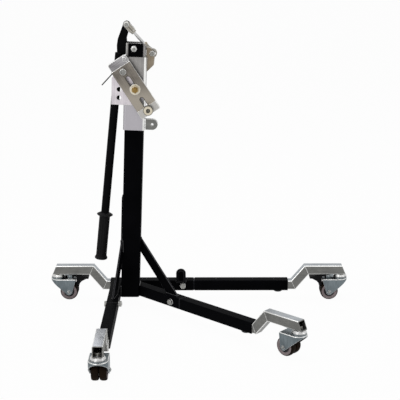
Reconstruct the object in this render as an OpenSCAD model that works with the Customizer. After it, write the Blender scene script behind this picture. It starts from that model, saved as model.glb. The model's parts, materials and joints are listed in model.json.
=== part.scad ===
// Motorcycle side lift stand: a leaning mast on four castered legs, a carriage that a hand
// lever raises along the mast, and a tilting adapter plate that carries the bike's frame.
// Millimetres, +Z up, +X toward the long rear leg, -Y toward the viewer of the photograph.
// The floor is Z = 0 and the mast's centre line meets it at the origin.

/* [Mast] */
// Side of the square mast tube
mast_w = 48; // [40:1:60]
// Wall of the mast tube
mast_wall = 3; // [2:0.5:4]
// Outer corner radius of the mast tube
mast_r = 5; // [4:0.5:8]
// Lean of the mast toward +X, in degrees
mast_lean = 2.3; // [0:0.1:4]
// Height of the tube's top edge along the mast
mast_top = 655; // [640:1:658]
// Thickness of the wear strip on the mast's left face
strip_t = 4; // [2:0.5:6]
// Width of the wear strip
strip_w = 26; // [16:1:30]
// Bottom of the wear strip along the mast
strip_z0 = 95; // [80:1:120]
// Top of the wear strip along the mast
strip_z1 = 301; // [220:1:330]

/* [Head] */
// Lever pivot, distance from the mast's centre line
pivot_x = -4; // [-8:0.5:0]
// Lever pivot, height along the mast
pivot_z = 681; // [676:1:690]
// Diameter of the pivot bolt
pivot_d = 10; // [8:1:12]
// Thickness of each head cheek
cheek_t = 4; // [3:0.5:6]
// Height of the cheeks above the pivot
cheek_up = 13; // [12:1:18]
// Depth of the cheeks inside the mast tube
cheek_in = 60; // [30:5:120]
// Side of the square head pads
pad_w = 37.5; // [28:0.5:42]

/* [Base] */
// Side of the square leg tubes
tube_w = 29; // [28:0.5:32]
// Wall of the leg tubes
tube_wall = 2; // [1.5:0.25:2.5]
// Outer corner radius of the leg tubes
tube_r = 3; // [2:0.5:4]
// Floor to the underside of the leg tubes
tube_z = 25; // [24:1:34]
// Left end of the rear beam, from the mast
beam_left = 54; // [50:1:70]
// Right end of the rear beam, from the mast
beam_right = 171; // [160:1:200]
// Centre line of the front leg, left of the mast
front_x = 37; // [36:0.5:42]
// End of the front stub, in front of the mast
front_stub_end = 141; // [130:1:170]
// Angle of the side leg below the +X axis, in degrees
side_angle = 42.6; // [36:0.2:48]
// Shift of the side leg's centre line off the mast's centre line
side_offset = 19.5; // [16:0.5:22]
// End of the side stub along the side leg
side_stub_end = 177; // [165:1:200]
// Length of the rear leg tube
rear_leg_l = 253; // [200:1:300]
// Length of the side leg tube
side_leg_l = 237; // [200:1:300]
// Length of the front leg tube
front_leg_l = 222; // [200:1:300]
// Length of each spigot inside its stub
spigot_in = 60; // [45:1:70]
// Length of each spigot inside its leg tube
spigot_out = 50; // [30:1:60]
// Wall of the spigots
spigot_wall = 2.5; // [2:0.25:4]
// Leg bolt, distance before the joint line
leg_bolt_back = 30; // [20:1:40]
// Diameter of the leg bolts
leg_bolt_d = 8; // [6:1:10]
// Width of the flat brace bars
brace_w = 29; // [20:1:32]
// Thickness of the brace bars
brace_t = 4; // [3:0.5:6]
// Height of the braces on the mast
brace_z = 186; // [150:1:220]
// Foot of the side brace along its leg
side_brace_foot = 160; // [150:1:165]
// Foot of the front brace in front of the mast
front_brace_foot = 116; // [110:1:125]
// Centre of the upright lug on the rear beam
lug_x = 136; // [110:1:150]
// Width of the upright lug
lug_w = 26; // [18:1:30]
// Thickness of the upright lug
lug_t = 6; // [4:0.5:8]
// Height of the upright lug above the beam
lug_h = 34.5; // [28:0.5:45]
// Overlap of the upright lug and the beam's front face
lug_lap = 5; // [3:0.5:5]
// Clamp screw, distance before each tube's end
clamp_back = 26; // [18:1:35]
// Diameter of the clamp screws
clamp_d = 8; // [6:1:10]
// Diameter of the clamp screws' heads
clamp_head_d = 24; // [18:1:26]
// Thickness of the clamp screws' heads
clamp_head_t = 5; // [4:0.5:8]

/* [Arms] */
// Side of the square cranked arms
arm_w = 24; // [22:0.5:24.5]
// Wall of the cranked arms
arm_wall = 2; // [1.5:0.25:3]
// Length of each arm inside its tube
arm_in = 85; // [60:1:90]
// Tube's end to the first bend
arm_bend = 15; // [14:1:25]
// Horizontal run of the crank
crank_run = 35; // [30:1:45]
// Rise of the crank
crank_rise = 42.5; // [38:0.5:46]
// Tube's end to the caster stem
arm_reach = 141; // [134:1:160]
// Stem to the arm's end, at the top
arm_tip_top = 4; // [2:0.5:10]
// Stem to the arm's end, at the bottom
arm_tip_bottom = 14; // [12:0.5:20]
// How much further the side arm is pushed into its tube
side_arm_in = 7; // [0:1:9]

/* [Casters] */
// Diameter of the wheels
wheel_d = 48; // [46:1:52]
// Width of one twin wheel
wheel_w = 17; // [12:0.5:18]
// Gap between the twin wheels
wheel_gap = 2; // [2:0.5:6]
// Thickness of the tyre tread
tyre_t = 10; // [6:0.5:12]
// Stem to axle
trail = 29.5; // [28:0.5:32]
// Diameter of the stem
stem_d = 10; // [8:1:12]
// Diameter of the stem's coned race
race_d = 34; // [30:1:35]
// Height of the fork's top face above the floor
fork_top = 59; // [57:0.5:60]
// Thickness of the fork's sheet
fork_t = 2.5; // [2:0.25:3]
// Gap between the wheels and the fork
fork_gap = 2; // [1:0.25:3]
// Fork's length beyond the stem
fork_nose = 19; // [18.5:0.5:22]
// Drop of the fork's rear edge below its top
fork_skirt = 5; // [4:0.5:8]
// Length behind the stem of a fork without a brake
fork_tail = 42; // [40:1:46]
// Length behind the stem of a fork with a brake
brake_tail = 47.5; // [46:0.5:50]
// Radius of the fork's ends round the axle
fork_end_r = 8.5; // [7:0.5:10]
// Diameter of the axle
axle_d = 8; // [6:1:10]
// Stem to the brake pedal's pin
pedal_x = 32; // [30:0.5:34]
// Stem to the brake pedal's tip
pedal_tip = 82; // [70:1:83]
// Width of the brake pedal's tread
pedal_w = 26; // [20:1:34]
// Gap between the brake shoe and the wheels
shoe_gap = 3.5; // [3.2:0.1:5]
// Thickness of the brake shoe where it starts
shoe_t = 4; // [3.5:0.5:5]
// Diameter of the brake pedal's pin
pedal_pin_d = 4; // [3:0.5:5]

/* [Carriage] */
// Side of the square carriage sleeve
sleeve_w = 54.5; // [54:0.5:58]
// Wall of the carriage sleeve
sleeve_wall = 2; // [1.5:0.25:2.25]
// Bottom of the sleeve along the mast
sleeve_z0 = 475.5; // [440:0.5:500]
// Top of the sleeve along the mast
sleeve_z1 = 660.5; // [659:0.5:662]
// Height of each slide pad
pad_h = 30; // [15:1:50]
// Thickness of the lever guide cheeks
guide_t = 3; // [2:0.5:4]
// Reach of the lever guide cheeks from the sleeve
guide_reach = 30.5; // [28:0.5:40]
// Bottom of the lever guide cheeks along the mast
guide_z0 = 540; // [530:1:550]
// Top of the lever guide cheeks along the mast
guide_z1 = 622; // [610:1:626]
// Diameter of the lever guide's holes
guide_hole_d = 11.5; // [8:0.5:14]
// Pitch of the lever guide's holes
guide_hole_pitch = 21; // [18:0.5:24]
// Thickness of the rod bracket's cheeks
bracket_t = 3; // [2:0.5:4]
// Clear width between the rod bracket's cheeks
bracket_gap = 18; // [16.5:0.5:22]
// Reach of the rod bracket from the sleeve
bracket_reach = 20.5; // [19:0.5:24]
// Length of the carriage lug
eye_l = 33; // [28:1:40]
// Height of the carriage lug
eye_h = 28; // [20:1:34]
// Thickness of the carriage lug
eye_t = 10; // [8:0.5:12]
// Diameter of the carriage lug's hole
eye_hole_d = 6; // [5:0.5:8]
// Diameter of the adapter boss
boss_d = 24; // [18:1:28]
// Length of the adapter boss
boss_l = 13; // [12:0.5:16]

/* [Lever] */
// Thickness of the lever plate
lever_t = 8; // [6:0.5:10]
// Clevis pin, left of the pivot
tip_x = 21; // [19:0.5:26]
// Clevis pin, above the pivot
tip_z = 57; // [52:0.5:60]
// Diameter of the clevis pin
clevis_pin_d = 8; // [6:0.5:10]
// Handle's centre line, left of the pivot
handle_x = 37; // [35:0.5:42]
// Tilt of the handle against the mast, in degrees
handle_tilt = 4; // [2:0.2:6]
// Diameter of the handle tube
handle_d = 21; // [18:0.5:22]
// Wall of the handle tube
handle_wall = 2; // [1.5:0.25:3]
// Pivot's height to the handle tube's top
handle_start = 14; // [12:1:20]
// Pivot's height to the grip's lower end
handle_end = 556.5; // [480:0.5:575]
// Length of the grip
grip_l = 128; // [110:1:140]
// Diameter of the grip
grip_d = 28; // [26:0.5:32]
// Diameter of the grip's flange
grip_flange_d = 41; // [36:1:46]

/* [Tie rod] */
// Lower rod pivot, right of the mast's centre line
rod_foot_x = 41; // [40:0.5:44]
// Lower rod pivot, height along the mast
rod_foot_z = 669.5; // [667:0.5:672]
// Diameter of the tie rod
rod_d = 8; // [6:1:10]
// Width of the clevis
clevis_w = 16; // [15:0.5:18]
// Clevis pin to the clevis's neck
clevis_fork = 22; // [22:1:32]
// Length of the clevis's neck
clevis_neck = 6; // [5:1:16]
// Diameter of the rod bracket's bolt
bracket_bolt_d = 8; // [6:0.5:8]
// Play of the rod's lower eye round its bolt
eye_play = 4.6; // [4.4:0.1:5]
// Wall of the rod's lower eye
rod_eye_wall = 3; // [2:0.5:3]

/* [Adapter] */
// Adapter bolt, right of the mast's centre line
adapter_x = 2.3; // [-4:0.1:6]
// Adapter bolt, height along the mast
adapter_z = 583; // [575:0.5:590]
// Tilt of the adapter plate, in degrees
adapter_tilt = 35; // [25:1:40]
// Width of the adapter plate
plate_w = 55; // [46:1:64]
// Plate's length above the adapter bolt
plate_up = 66.5; // [60:0.5:75]
// Plate's length below the adapter bolt
plate_down = 70; // [68:0.5:80]
// Thickness of the adapter plate
plate_t = 6; // [4:0.5:8]
// Length of the upper slot
slot_l = 32; // [28:1:33]
// Diameter of the adapter bolt
adapter_d = 10; // [8:1:12]
// Diameter of the adapter washer
washer_d = 27; // [24:0.5:32]
// Thickness of the adapter washer
washer_t = 2.5; // [2:0.25:4]
// Width of the lower slot
pin_slot_w = 8.8; // [8.5:0.1:9.5]
// Start of the lower slot below the adapter bolt
pin_slot_start = 30; // [26:1:34]
// Lower frame pin below the adapter bolt
pin_u = 60; // [58:0.5:61]
// Diameter of the lower frame pin
pin_d = 24.5; // [20:0.5:26]
// Length of the lower frame pin
pin_l = 16; // [10:1:40]
// Diameter of the lower pin's shank
pin_shank_d = 8; // [7:0.5:8]
// Length of the lower bar along the plate
lower_bar_l = 22; // [20:0.5:26]
// Thickness of the lower bar
lower_bar_t = 5; // [3:0.5:8]
// Upper frame stud above the adapter bolt
stud_u = 53; // [50:0.5:55]
// Diameter of the upper frame stud
stud_d = 16; // [12:0.5:20]
// Length of the upper frame stud
stud_l = 12; // [8:1:40]
// Thickness of the upper bar
upper_bar_t = 6; // [4:0.5:7]
// Length of the upper bar along the plate
upper_bar_l = 25; // [20:0.5:30]
// Width of the upper bar
upper_bar_w = 52; // [44:1:60]
// Overlap of the upper bar and the plate
upper_bar_lap = 5; // [4:0.5:7]
// Diameter of the spring clip's wire
clip_d = 3; // [2:0.5:4]

/* [Fits] */
// Radial running clearance of shafts and pins
run = 0.05; // [0.02:0.01:0.08]
// Gap between faces that slide or turn past each other
slip = 0.3; // [0.2:0.05:0.4]
// Side clearance of each arm inside its tube
arm_play = 0.5; // [0.4:0.05:0.6]

/* [Hidden] */
$fn = 64;
far = 400;
tube_in = tube_w - 2 * tube_wall;
tube_top = tube_z + tube_w;
leg_z = tube_z + tube_w / 2;
beam_y = mast_w / 2 + tube_w / 2;
arm_side = min(arm_w, tube_in - 2 * arm_play);
arm_h = arm_side / 2;
arm_top_z = leg_z + crank_rise;
arm_under = arm_top_z - arm_h;
crank_mitre = tan(atan2(crank_rise, crank_run) / 2);
sleeve_in = sleeve_w - 2 * sleeve_wall;
half_sleeve = sleeve_w / 2;
wheel_r = wheel_d / 2;
half_wheels = wheel_w + wheel_gap / 2;
fork_in = half_wheels + fork_gap;
fork_out = fork_in + fork_t;
boss_h = 4;
pedal_z = fork_top + 5.2;
lever_hub_r = 13;
handle_r = handle_d / 2;
handle_bore_r = handle_r - handle_wall;
rod_dx = rod_foot_x - pivot_x + tip_x;
rod_dz = rod_foot_z - pivot_z - tip_z;
rod_l = norm([rod_dx, rod_dz]);
rod_dip = atan2(-rod_dz, rod_dx);
rod_eye_r = bracket_bolt_d / 2 + eye_play;
boss_y = -half_sleeve - boss_l;
plate_y = boss_y - slip;
plate_front = plate_y - plate_t;
washer_y = plate_front - slip;
bar_y = plate_front - slip;
upper_bar_u = plate_up - upper_bar_lap;
pin_slot_end = pin_u + (pin_slot_w - pin_shank_d) / 2;
clip_y = plate_y + upper_bar_t + clip_d / 2;
black = "#202022";
zinc = "#a9adb3";
gold = "#c9a24a";

// Square with rounded corners, centred
module round_square(w, r) {
    square([w - 2 * r, w], center = true);
    square([w, w - 2 * r], center = true);
    for (x = [-1, 1], y = [-1, 1])
        translate([x * (w / 2 - r), y * (w / 2 - r)]) circle(r);
}

// Profile swept along +X: its x becomes Y and its y becomes Z
module along_x(l) {
    rotate([90, 0, 90]) linear_extrude(l) children();
}

// Profile drawn in X and Z, as thick as t and centred on Y
module upright(t) {
    rotate([90, 0, 0]) linear_extrude(t, center = true) children();
}

// Cylinder along +Y from y0, with true radius r
module pin_y(r, y0, l) {
    translate([0, y0 + l, 0]) rotate([90, 0, 0]) cylinder(r = r, h = l);
}

// Hexagon along +Y from y0, af across its flats
module hex_y(af, y0, l) {
    translate([0, y0 + l, 0]) rotate([90, 0, 0]) cylinder(d = af / cos(30), h = l, $fn = 6);
}

// The mast's own frame, which leans
module on_mast() {
    rotate([0, mast_lean, 0]) children();
}

// Solid block as large as the mast's outside, to fit neighbours against it
module mast_block() {
    on_mast() translate([0, 0, -50]) linear_extrude(far) round_square(mast_w, mast_r);
}

// Space that the mast and all behind it take up, for tubes that end on its flat faces
module mast_space() {
    on_mast() translate([-mast_w / 2, -mast_w / 2, -50]) cube([mast_w, far, far]);
}

// Frame of one leg: its centre line is +X, and its distance from the mast is s
module leg(name, s = 0) {
    if (name == "rear") translate([s, beam_y, 0]) children();
    if (name == "left") translate([-s, beam_y, 0]) rotate(180) children();
    if (name == "side") rotate(-side_angle) translate([s, side_offset, 0]) children();
    if (name == "front") translate([-front_x, -s, 0]) rotate(-90) children();
}

function joint_at(name) =
    name == "rear" ? beam_right : name == "side" ? side_stub_end : front_stub_end;
function leg_length(name) =
    name == "rear" ? rear_leg_l : name == "side" ? side_leg_l : front_leg_l;
function tube_end(name) = name == "left" ? beam_left : joint_at(name) + leg_length(name);
function arm_at(name) = tube_end(name) - (name == "side" ? side_arm_in : 0);

// Square leg tube along +X from s0 to s1
module leg_tube(s0, s1) {
    translate([s0, 0, leg_z]) difference() {
        along_x(s1 - s0) round_square(tube_w, tube_r);
        translate([-1, 0, 0]) along_x(s1 - s0 + 2) square(tube_in, center = true);
    }
}

// Hole for a clamp screw, at a tube's end
module clamp_hole() {
    translate([-clamp_back, 0, tube_z - 1]) cylinder(d = clamp_d, h = tube_wall + 2);
}

// Hole for a leg bolt, behind a joint line
module leg_bolt_hole() {
    translate([-leg_bolt_back, 0, leg_z]) pin_y(leg_bolt_d / 2, -tube_w, 2 * tube_w);
}

module mast() {
    color(black) difference() {
        on_mast() translate([0, 0, -50]) linear_extrude(mast_top + 50) difference() {
            round_square(mast_w, mast_r);
            round_square(mast_w - 2 * mast_wall, mast_r - mast_wall);
        }
        translate([-far / 2, -far / 2, tube_z - far]) cube(far);
    }
}

module mast_strip() {
    color(black) on_mast() translate([-mast_w / 2, -8, 0]) rotate([90, 0, 0])
        mirror([0, 0, 1]) linear_extrude(strip_w) polygon([
            [0, strip_z0], [0, strip_z1], [-strip_t, strip_z1 - 2 * strip_t],
            [-strip_t, strip_z0]
        ]);
}

module rear_beam() {
    color(black) difference() {
        translate([0, beam_y, 0]) leg_tube(-beam_left, beam_right);
        leg("left", beam_left) clamp_hole();
        leg("rear", beam_right) leg_bolt_hole();
    }
}

module leg_stubs() {
    color(black) difference() {
        leg("front") leg_tube(-beam_y + tube_w / 2, front_stub_end);
        mast_space();
        leg("front", front_stub_end) leg_bolt_hole();
    }
    color(black) difference() {
        leg("side") leg_tube(-mast_w / 4, side_stub_end);
        mast_space();
        translate([-far / 2, beam_y - tube_w / 2, 0]) cube([far, far, far]);
        leg("side", side_stub_end) leg_bolt_hole();
    }
}

// Flat bar from the mast at brace_z down to a leg tube's top at s
module brace(s) {
    slope = atan2(brace_z - tube_top, s - mast_w / 2);
    upright(brace_t) polygon([
        [0, brace_z + tan(slope) * mast_w / 2],
        [s, tube_top],
        [s - brace_w / sin(slope), tube_top],
        [0, brace_z + tan(slope) * mast_w / 2 - brace_w / cos(slope)]
    ]);
}

module leg_braces() {
    color(black) difference() {
        leg("side") brace(side_brace_foot);
        mast_block();
    }
    color(black) difference() {
        translate([-mast_w / 4, 0, 0]) rotate(-90 - atan2(front_x - mast_w / 4, front_brace_foot))
            brace(norm([front_x - mast_w / 4, front_brace_foot]));
        mast_block();
    }
}

// Outline of the upright lug, smaller all round by inset
module lug_shape(inset) {
    r = lug_w / 2 - inset;
    translate([-r, inset - lug_lap]) square([2 * r, lug_h + lug_lap - lug_w / 2 - inset]);
    translate([0, lug_h - lug_w / 2]) circle(r);
}

module parking_lug() {
    front = beam_y - tube_w / 2;
    color(black) translate([lug_x, front - lug_t / 2, tube_top]) {
        upright(lug_t) lug_shape(0);
        translate([0, -lug_t / 2, 0]) upright(3) lug_shape(5);
    }
}

module leg_tubes() {
    for (name = ["rear", "side", "front"])
        color(black) difference() {
            leg(name) leg_tube(joint_at(name), tube_end(name));
            leg(name, tube_end(name)) clamp_hole();
        }
}

module leg_spigots() {
    for (name = ["rear", "side", "front"])
        color(zinc) leg(name, joint_at(name)) difference() {
            translate([-spigot_in, 0, leg_z]) along_x(spigot_in + spigot_out) difference() {
                square(tube_in, center = true);
                square(tube_in - 2 * spigot_wall, center = true);
            }
            leg_bolt_hole();
        }
}

module leg_bolts() {
    half = tube_w / 2;
    washer = 1.6;
    af = leg_bolt_d * 1.625;
    for (name = ["rear", "side", "front"])
        color(zinc) leg(name, joint_at(name) - leg_bolt_back) translate([0, 0, leg_z]) {
            pin_y(leg_bolt_d / 2, -half, tube_w + washer + leg_bolt_d);
            hex_y(af, -half - washer - 0.65 * leg_bolt_d, 0.65 * leg_bolt_d);
            pin_y(leg_bolt_d, -half - washer, washer);
            difference() {
                union() {
                    pin_y(leg_bolt_d, half, washer);
                    hex_y(af, half + washer, 0.8 * leg_bolt_d);
                }
                pin_y(leg_bolt_d / 2, half - 1, leg_bolt_d + 4);
            }
        }
}

module clamp_screws() {
    for (name = ["rear", "side", "front", "left"])
        color(black) leg(name, tube_end(name) - clamp_back) {
            translate([0, 0, tube_z - clamp_head_t]) cylinder(d = clamp_head_d, h = clamp_head_t);
            translate([0, 0, tube_z]) cylinder(d = clamp_d, h = leg_z - arm_h - slip / 2 - tube_z);
        }
}

module head_cheeks() {
    in_w = mast_w - 2 * mast_wall;
    y = mast_w / 2 - mast_wall - cheek_t / 2;
    for (side = [-1, 1])
        color(zinc) on_mast() translate([0, side * y, 0]) upright(cheek_t) difference() {
            union() {
                translate([-in_w / 2 + mast_r, mast_top - cheek_in])
                    square([in_w - 2 * mast_r, cheek_in + 1]);
                translate([-mast_w / 2, mast_top])
                    square([mast_w, pivot_z + cheek_up - mast_top]);
            }
            translate([pivot_x, pivot_z]) circle(d = pivot_d);
        }
}

module head_pads() {
    y = mast_w / 2 - mast_wall / 2;
    for (side = [-1, 1])
        color(black) on_mast() translate([0, side * y, 0]) upright(mast_wall) difference() {
            translate([-pad_w / 2, mast_top + 1])
                square([pad_w, pivot_z + cheek_up - mast_top - 1]);
            translate([pivot_x, pivot_z]) circle(d = pivot_d);
        }
}

module pivot_bolt() {
    af = 1.4 * pivot_d;
    nut_y = mast_w / 2;
    color(zinc) on_mast() translate([pivot_x, 0, pivot_z]) {
        pin_y(pivot_d / 2, -nut_y - pivot_d, mast_w + pivot_d);
        hex_y(af, nut_y, 0.64 * pivot_d);
        difference() {
            hex_y(af, -nut_y - 0.8 * pivot_d, 0.8 * pivot_d);
            pin_y(pivot_d / 2, -nut_y - pivot_d, pivot_d + 1);
        }
    }
}

module pivot_spacers() {
    y0 = lever_t / 2 + slip;
    y1 = mast_w / 2 - mast_wall - cheek_t;
    color(zinc) on_mast() translate([pivot_x, 0, pivot_z])
        for (side = [0, 1]) mirror([0, side, 0]) difference() {
            pin_y(0.9 * pivot_d, y0, y1 - y0);
            pin_y(pivot_d / 2, y0 - 1, y1 - y0 + 2);
        }
}

module carriage_sleeve() {
    color(zinc) on_mast() translate([0, 0, sleeve_z0]) linear_extrude(sleeve_z1 - sleeve_z0)
        difference() {
            round_square(sleeve_w, mast_r + 1);
            round_square(sleeve_in, mast_r - 1);
        }
}

module slide_pads() {
    for (z = [sleeve_z0, sleeve_z1 - pad_h])
        color("#e8e8e4") on_mast() translate([0, 0, z]) linear_extrude(pad_h) difference() {
            round_square(sleeve_in, mast_r - 1);
            round_square(mast_w + 2 * slip, mast_r - 1.5);
        }
}

// Outline of a lever guide cheek, which laps the sleeve's face up to the adapter boss
module guide_shape() {
    x0 = -half_sleeve - guide_reach;
    difference() {
        polygon([
            [adapter_x, guide_z0], [adapter_x, guide_z1], [x0 + 14, guide_z1],
            [x0, guide_z1 - 14], [x0, guide_z0]
        ]);
        translate([adapter_x, adapter_z]) circle(boss_d / 2 + 2);
    }
}

module lever_guide() {
    y = half_sleeve + guide_t / 2;
    hole_x = -half_sleeve - guide_hole_d;
    hole_z = guide_z0 + 18;
    color(zinc) on_mast() translate([0, -y, 0]) upright(guide_t) difference() {
        guide_shape();
        for (i = [0:2]) translate([hole_x, hole_z + i * guide_hole_pitch]) circle(d = guide_hole_d);
    }
    color(zinc) on_mast() translate([0, y, 0]) upright(guide_t) difference() {
        guide_shape();
        translate([hole_x, 0]) slot_shape(guide_hole_d, guide_z0 + 10, hole_z + 2 * guide_hole_pitch);
    }
}

module rod_bracket() {
    y = bracket_gap / 2 + bracket_t / 2;
    x0 = half_sleeve;
    x1 = half_sleeve + bracket_reach;
    for (side = [-1, 1])
        color(zinc) on_mast() translate([0, side * y, 0]) upright(bracket_t) difference() {
            polygon([
                [x0, rod_foot_z - 48], [x1 - 2, rod_foot_z - 29], [x1, rod_foot_z + 2],
                [x0 + 8, rod_foot_z + 15], [mast_w / 2 + 2, rod_foot_z + 16],
                [mast_w / 2 + 2, sleeve_z1], [x0, sleeve_z1]
            ]);
            translate([rod_foot_x, rod_foot_z]) circle(d = bracket_bolt_d);
        }
}

module rod_bracket_bolt() {
    half = bracket_gap / 2 + bracket_t;
    af = 1.625 * bracket_bolt_d;
    color(zinc) on_mast() translate([rod_foot_x, 0, rod_foot_z]) {
        pin_y(bracket_bolt_d / 2, -half, 2 * half + bracket_bolt_d);
        hex_y(af, -half - 0.65 * bracket_bolt_d, 0.65 * bracket_bolt_d);
        difference() {
            hex_y(af, half, 0.8 * bracket_bolt_d);
            pin_y(bracket_bolt_d / 2, half - 1, bracket_bolt_d + 2);
        }
    }
}

module carriage_lug() {
    color(zinc) on_mast() translate([half_sleeve, -half_sleeve + eye_t + 4, sleeve_z0 + 2])
        rotate([90, 0, 0]) linear_extrude(eye_t) difference() {
            union() {
                square([eye_l - eye_h / 2, eye_h]);
                translate([eye_l - eye_h / 2, eye_h / 2]) circle(d = eye_h);
            }
            translate([eye_l - eye_h / 2, eye_h / 2]) circle(d = eye_hole_d);
        }
}

module adapter_boss() {
    color(zinc) on_mast() translate([adapter_x, 0, adapter_z]) difference() {
        pin_y(boss_d / 2, boss_y, boss_l);
        pin_y(adapter_d / 2 + run, boss_y - 1, boss_l + 2);
    }
}

// The lever's own frame: the pivot is its origin
module on_lever() {
    on_mast() translate([pivot_x, 0, pivot_z]) children();
}

// The handle's own frame: it hangs along -Z
module on_handle() {
    on_lever() translate([-handle_x, 0, 0]) rotate([0, handle_tilt, 0]) children();
}

module lever_plate() {
    neck = 9;
    heel = handle_x + handle_r - 1;
    color(black) difference() {
        union() {
            on_lever() upright(lever_t) {
                circle(lever_hub_r);
                translate([-tip_x, tip_z]) circle(neck);
                polygon([
                    [-tip_x - neck, tip_z], [-heel + 4, 0.36 * tip_z], [-heel + 2, 4],
                    [-heel + 3, -handle_start - 1], [-handle_x + handle_r, -handle_start - 5],
                    [-lever_hub_r, -lever_hub_r + 1], [0, -lever_hub_r], [0, lever_hub_r],
                    [-lever_hub_r - 6, lever_hub_r + 2], [-tip_x + 1, 0.42 * tip_z],
                    [-tip_x + neck, tip_z - 3]
                ]);
            }
            on_handle() translate([-4.5, -lever_t / 2, -handle_start - 36])
                cube([handle_bore_r + 3.4, lever_t, 36]);
        }
        on_lever() pin_y(pivot_d / 2 + run, -lever_t, 2 * lever_t);
        on_lever() translate([-tip_x, 0, tip_z]) pin_y(clevis_pin_d / 2, -lever_t, 2 * lever_t);
    }
}

module handle_tube() {
    color(black) on_handle() difference() {
        translate([0, 0, -handle_end]) cylinder(r = handle_r, h = handle_end - handle_start);
        translate([0, 0, -handle_end - 1]) cylinder(r = handle_bore_r, h = handle_end);
        translate([-5.5, -lever_t / 2, -handle_start - 30]) cube([handle_d, lever_t, 60]);
    }
}

module handle_grip() {
    r = grip_d / 2;
    cap = 4;
    color("#151516") on_handle() translate([0, 0, -handle_end - cap]) rotate_extrude() polygon([
        [0, 0], [r + 1, 0], [r + 3, 2], [r + 3, 7], [r - 0.5, 10], [r, grip_l / 2],
        [r - 0.5, grip_l - 13], [grip_flange_d / 2 - 1, grip_l - 11],
        [grip_flange_d / 2, grip_l - 9], [grip_flange_d / 2, grip_l - 6], [r + 1, grip_l],
        [handle_r, grip_l], [handle_r, cap], [0, cap]
    ]);
}

module clevis_pin() {
    half = clevis_w / 2 + slip;
    color(zinc) on_lever() translate([-tip_x, 0, tip_z]) {
        pin_y(clevis_pin_d / 2, -half, 2 * half);
        pin_y(0.75 * clevis_pin_d, -half - 2.5, 2.5);
        pin_y(0.75 * clevis_pin_d, half, 2.5);
    }
}

// The tie rod's own frame: the clevis pin is its origin and the rod runs along +X
module on_rod() {
    on_lever() translate([-tip_x, 0, tip_z]) rotate([0, rod_dip, 0]) children();
}

module rod_clevis() {
    half = clevis_w / 2;
    slot = lever_t / 2 + slip;
    color("#b9ae93") on_rod() difference() {
        union() {
            upright(clevis_w) {
                circle(half);
                translate([0, -half]) square([clevis_fork, clevis_w]);
            }
            translate([clevis_fork, 0, 0]) rotate([0, 90, 0]) cylinder(r = half - 1, h = clevis_neck);
        }
        translate([-clevis_w, -slot, -clevis_w]) cube([clevis_w + clevis_fork - 5, 2 * slot, 2 * clevis_w]);
        pin_y(clevis_pin_d / 2 + run, -clevis_w, 2 * clevis_w);
        translate([clevis_fork, 0, 0]) rotate([0, 90, 0]) cylinder(d = rod_d, h = clevis_neck + 1);
    }
}

module tie_rod() {
    color(zinc) on_rod() translate([clevis_fork, 0, 0]) rotate([0, 90, 0])
        cylinder(d = rod_d, h = rod_l - rod_eye_r - rod_eye_wall - 6 - clevis_fork);
}

module rod_nuts() {
    nut_t = 0.75 * rod_d;
    x = rod_l - rod_eye_r - rod_eye_wall - 14 - nut_t;
    color(zinc) on_rod() translate([x, 0, 0]) rotate([0, 90, 0]) difference() {
        cylinder(d = 1.625 * rod_d / cos(30), h = nut_t, $fn = 6);
        translate([0, 0, -1]) cylinder(d = rod_d, h = nut_t + 2);
    }
}

module rod_end() {
    outer = rod_eye_r + rod_eye_wall;
    neck = outer + 14;
    thick = bracket_gap - 5;
    color("#b9ae93") on_rod() translate([rod_l, 0, 0]) difference() {
        union() {
            pin_y(outer, -thick / 2, thick);
            translate([-neck, 0, 0]) rotate([0, 90, 0]) cylinder(r = thick / 2, h = neck - rod_eye_r);
        }
        pin_y(rod_eye_r, -thick, 2 * thick);
        translate([-neck - 1, 0, 0]) rotate([0, 90, 0]) cylinder(d = rod_d, h = 9);
    }
}

// The adapter's own frame: the adapter bolt is its origin and the plate's upper end is +Z
module on_adapter() {
    on_mast() translate([adapter_x, 0, adapter_z]) rotate([0, -adapter_tilt, 0]) children();
}

module adapter_bolt() {
    head = 0.64 * adapter_d;
    color(gold) on_adapter() {
        pin_y(adapter_d / 2, washer_y - washer_t, -half_sleeve - slip - washer_y + washer_t);
        hex_y(1.7 * adapter_d, washer_y - washer_t - head, head);
    }
}

module adapter_washer() {
    color(zinc) on_adapter() difference() {
        pin_y(washer_d / 2, washer_y - washer_t, washer_t);
        pin_y(adapter_d / 2, washer_y - washer_t - 1, washer_t + 2);
    }
}

// Slot of width w between two heights on the plate
module slot_shape(w, z0, z1) {
    translate([0, z0]) circle(d = w);
    translate([0, z1]) circle(d = w);
    translate([-w / 2, z0]) square([w, z1 - z0]);
}

// Plate profile drawn on the adapter, from y forward by t
module on_plate(y, t) {
    on_adapter() translate([0, y, 0]) rotate([90, 0, 0]) linear_extrude(t) children();
}

module adapter_plate() {
    color(zinc) on_plate(plate_y, plate_t) difference() {
        translate([-plate_w / 2, -plate_down]) square([plate_w, plate_up + plate_down]);
        slot_shape(adapter_d + 2 * slip, 0, slot_l);
        slot_shape(pin_slot_w, -pin_slot_end, -pin_slot_start);
        translate([0, stud_u]) circle(d = 0.6 * stud_d);
    }
}

module upper_bar() {
    corner = 6;
    bolt_z = upper_bar_u + upper_bar_l - 8;
    color(zinc) on_plate(plate_y + upper_bar_t, upper_bar_t) difference() {
        union() {
            translate([-upper_bar_w / 2, upper_bar_u]) square([upper_bar_w, upper_bar_l - corner]);
            translate([-upper_bar_w / 2 + corner, upper_bar_u])
                square([upper_bar_w - 2 * corner, upper_bar_l]);
            for (side = [-1, 1])
                translate([side * (upper_bar_w / 2 - corner), upper_bar_u + upper_bar_l - corner])
                    circle(corner);
        }
        translate([upper_bar_w / 2 - 7, bolt_z]) circle(d = 4);
    }
    color(zinc) on_adapter() translate([upper_bar_w / 2 - 7, 0, bolt_z]) {
        pin_y(2, plate_y, upper_bar_t);
        hex_y(7, plate_y - 2.8, 2.8);
    }
}

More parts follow.
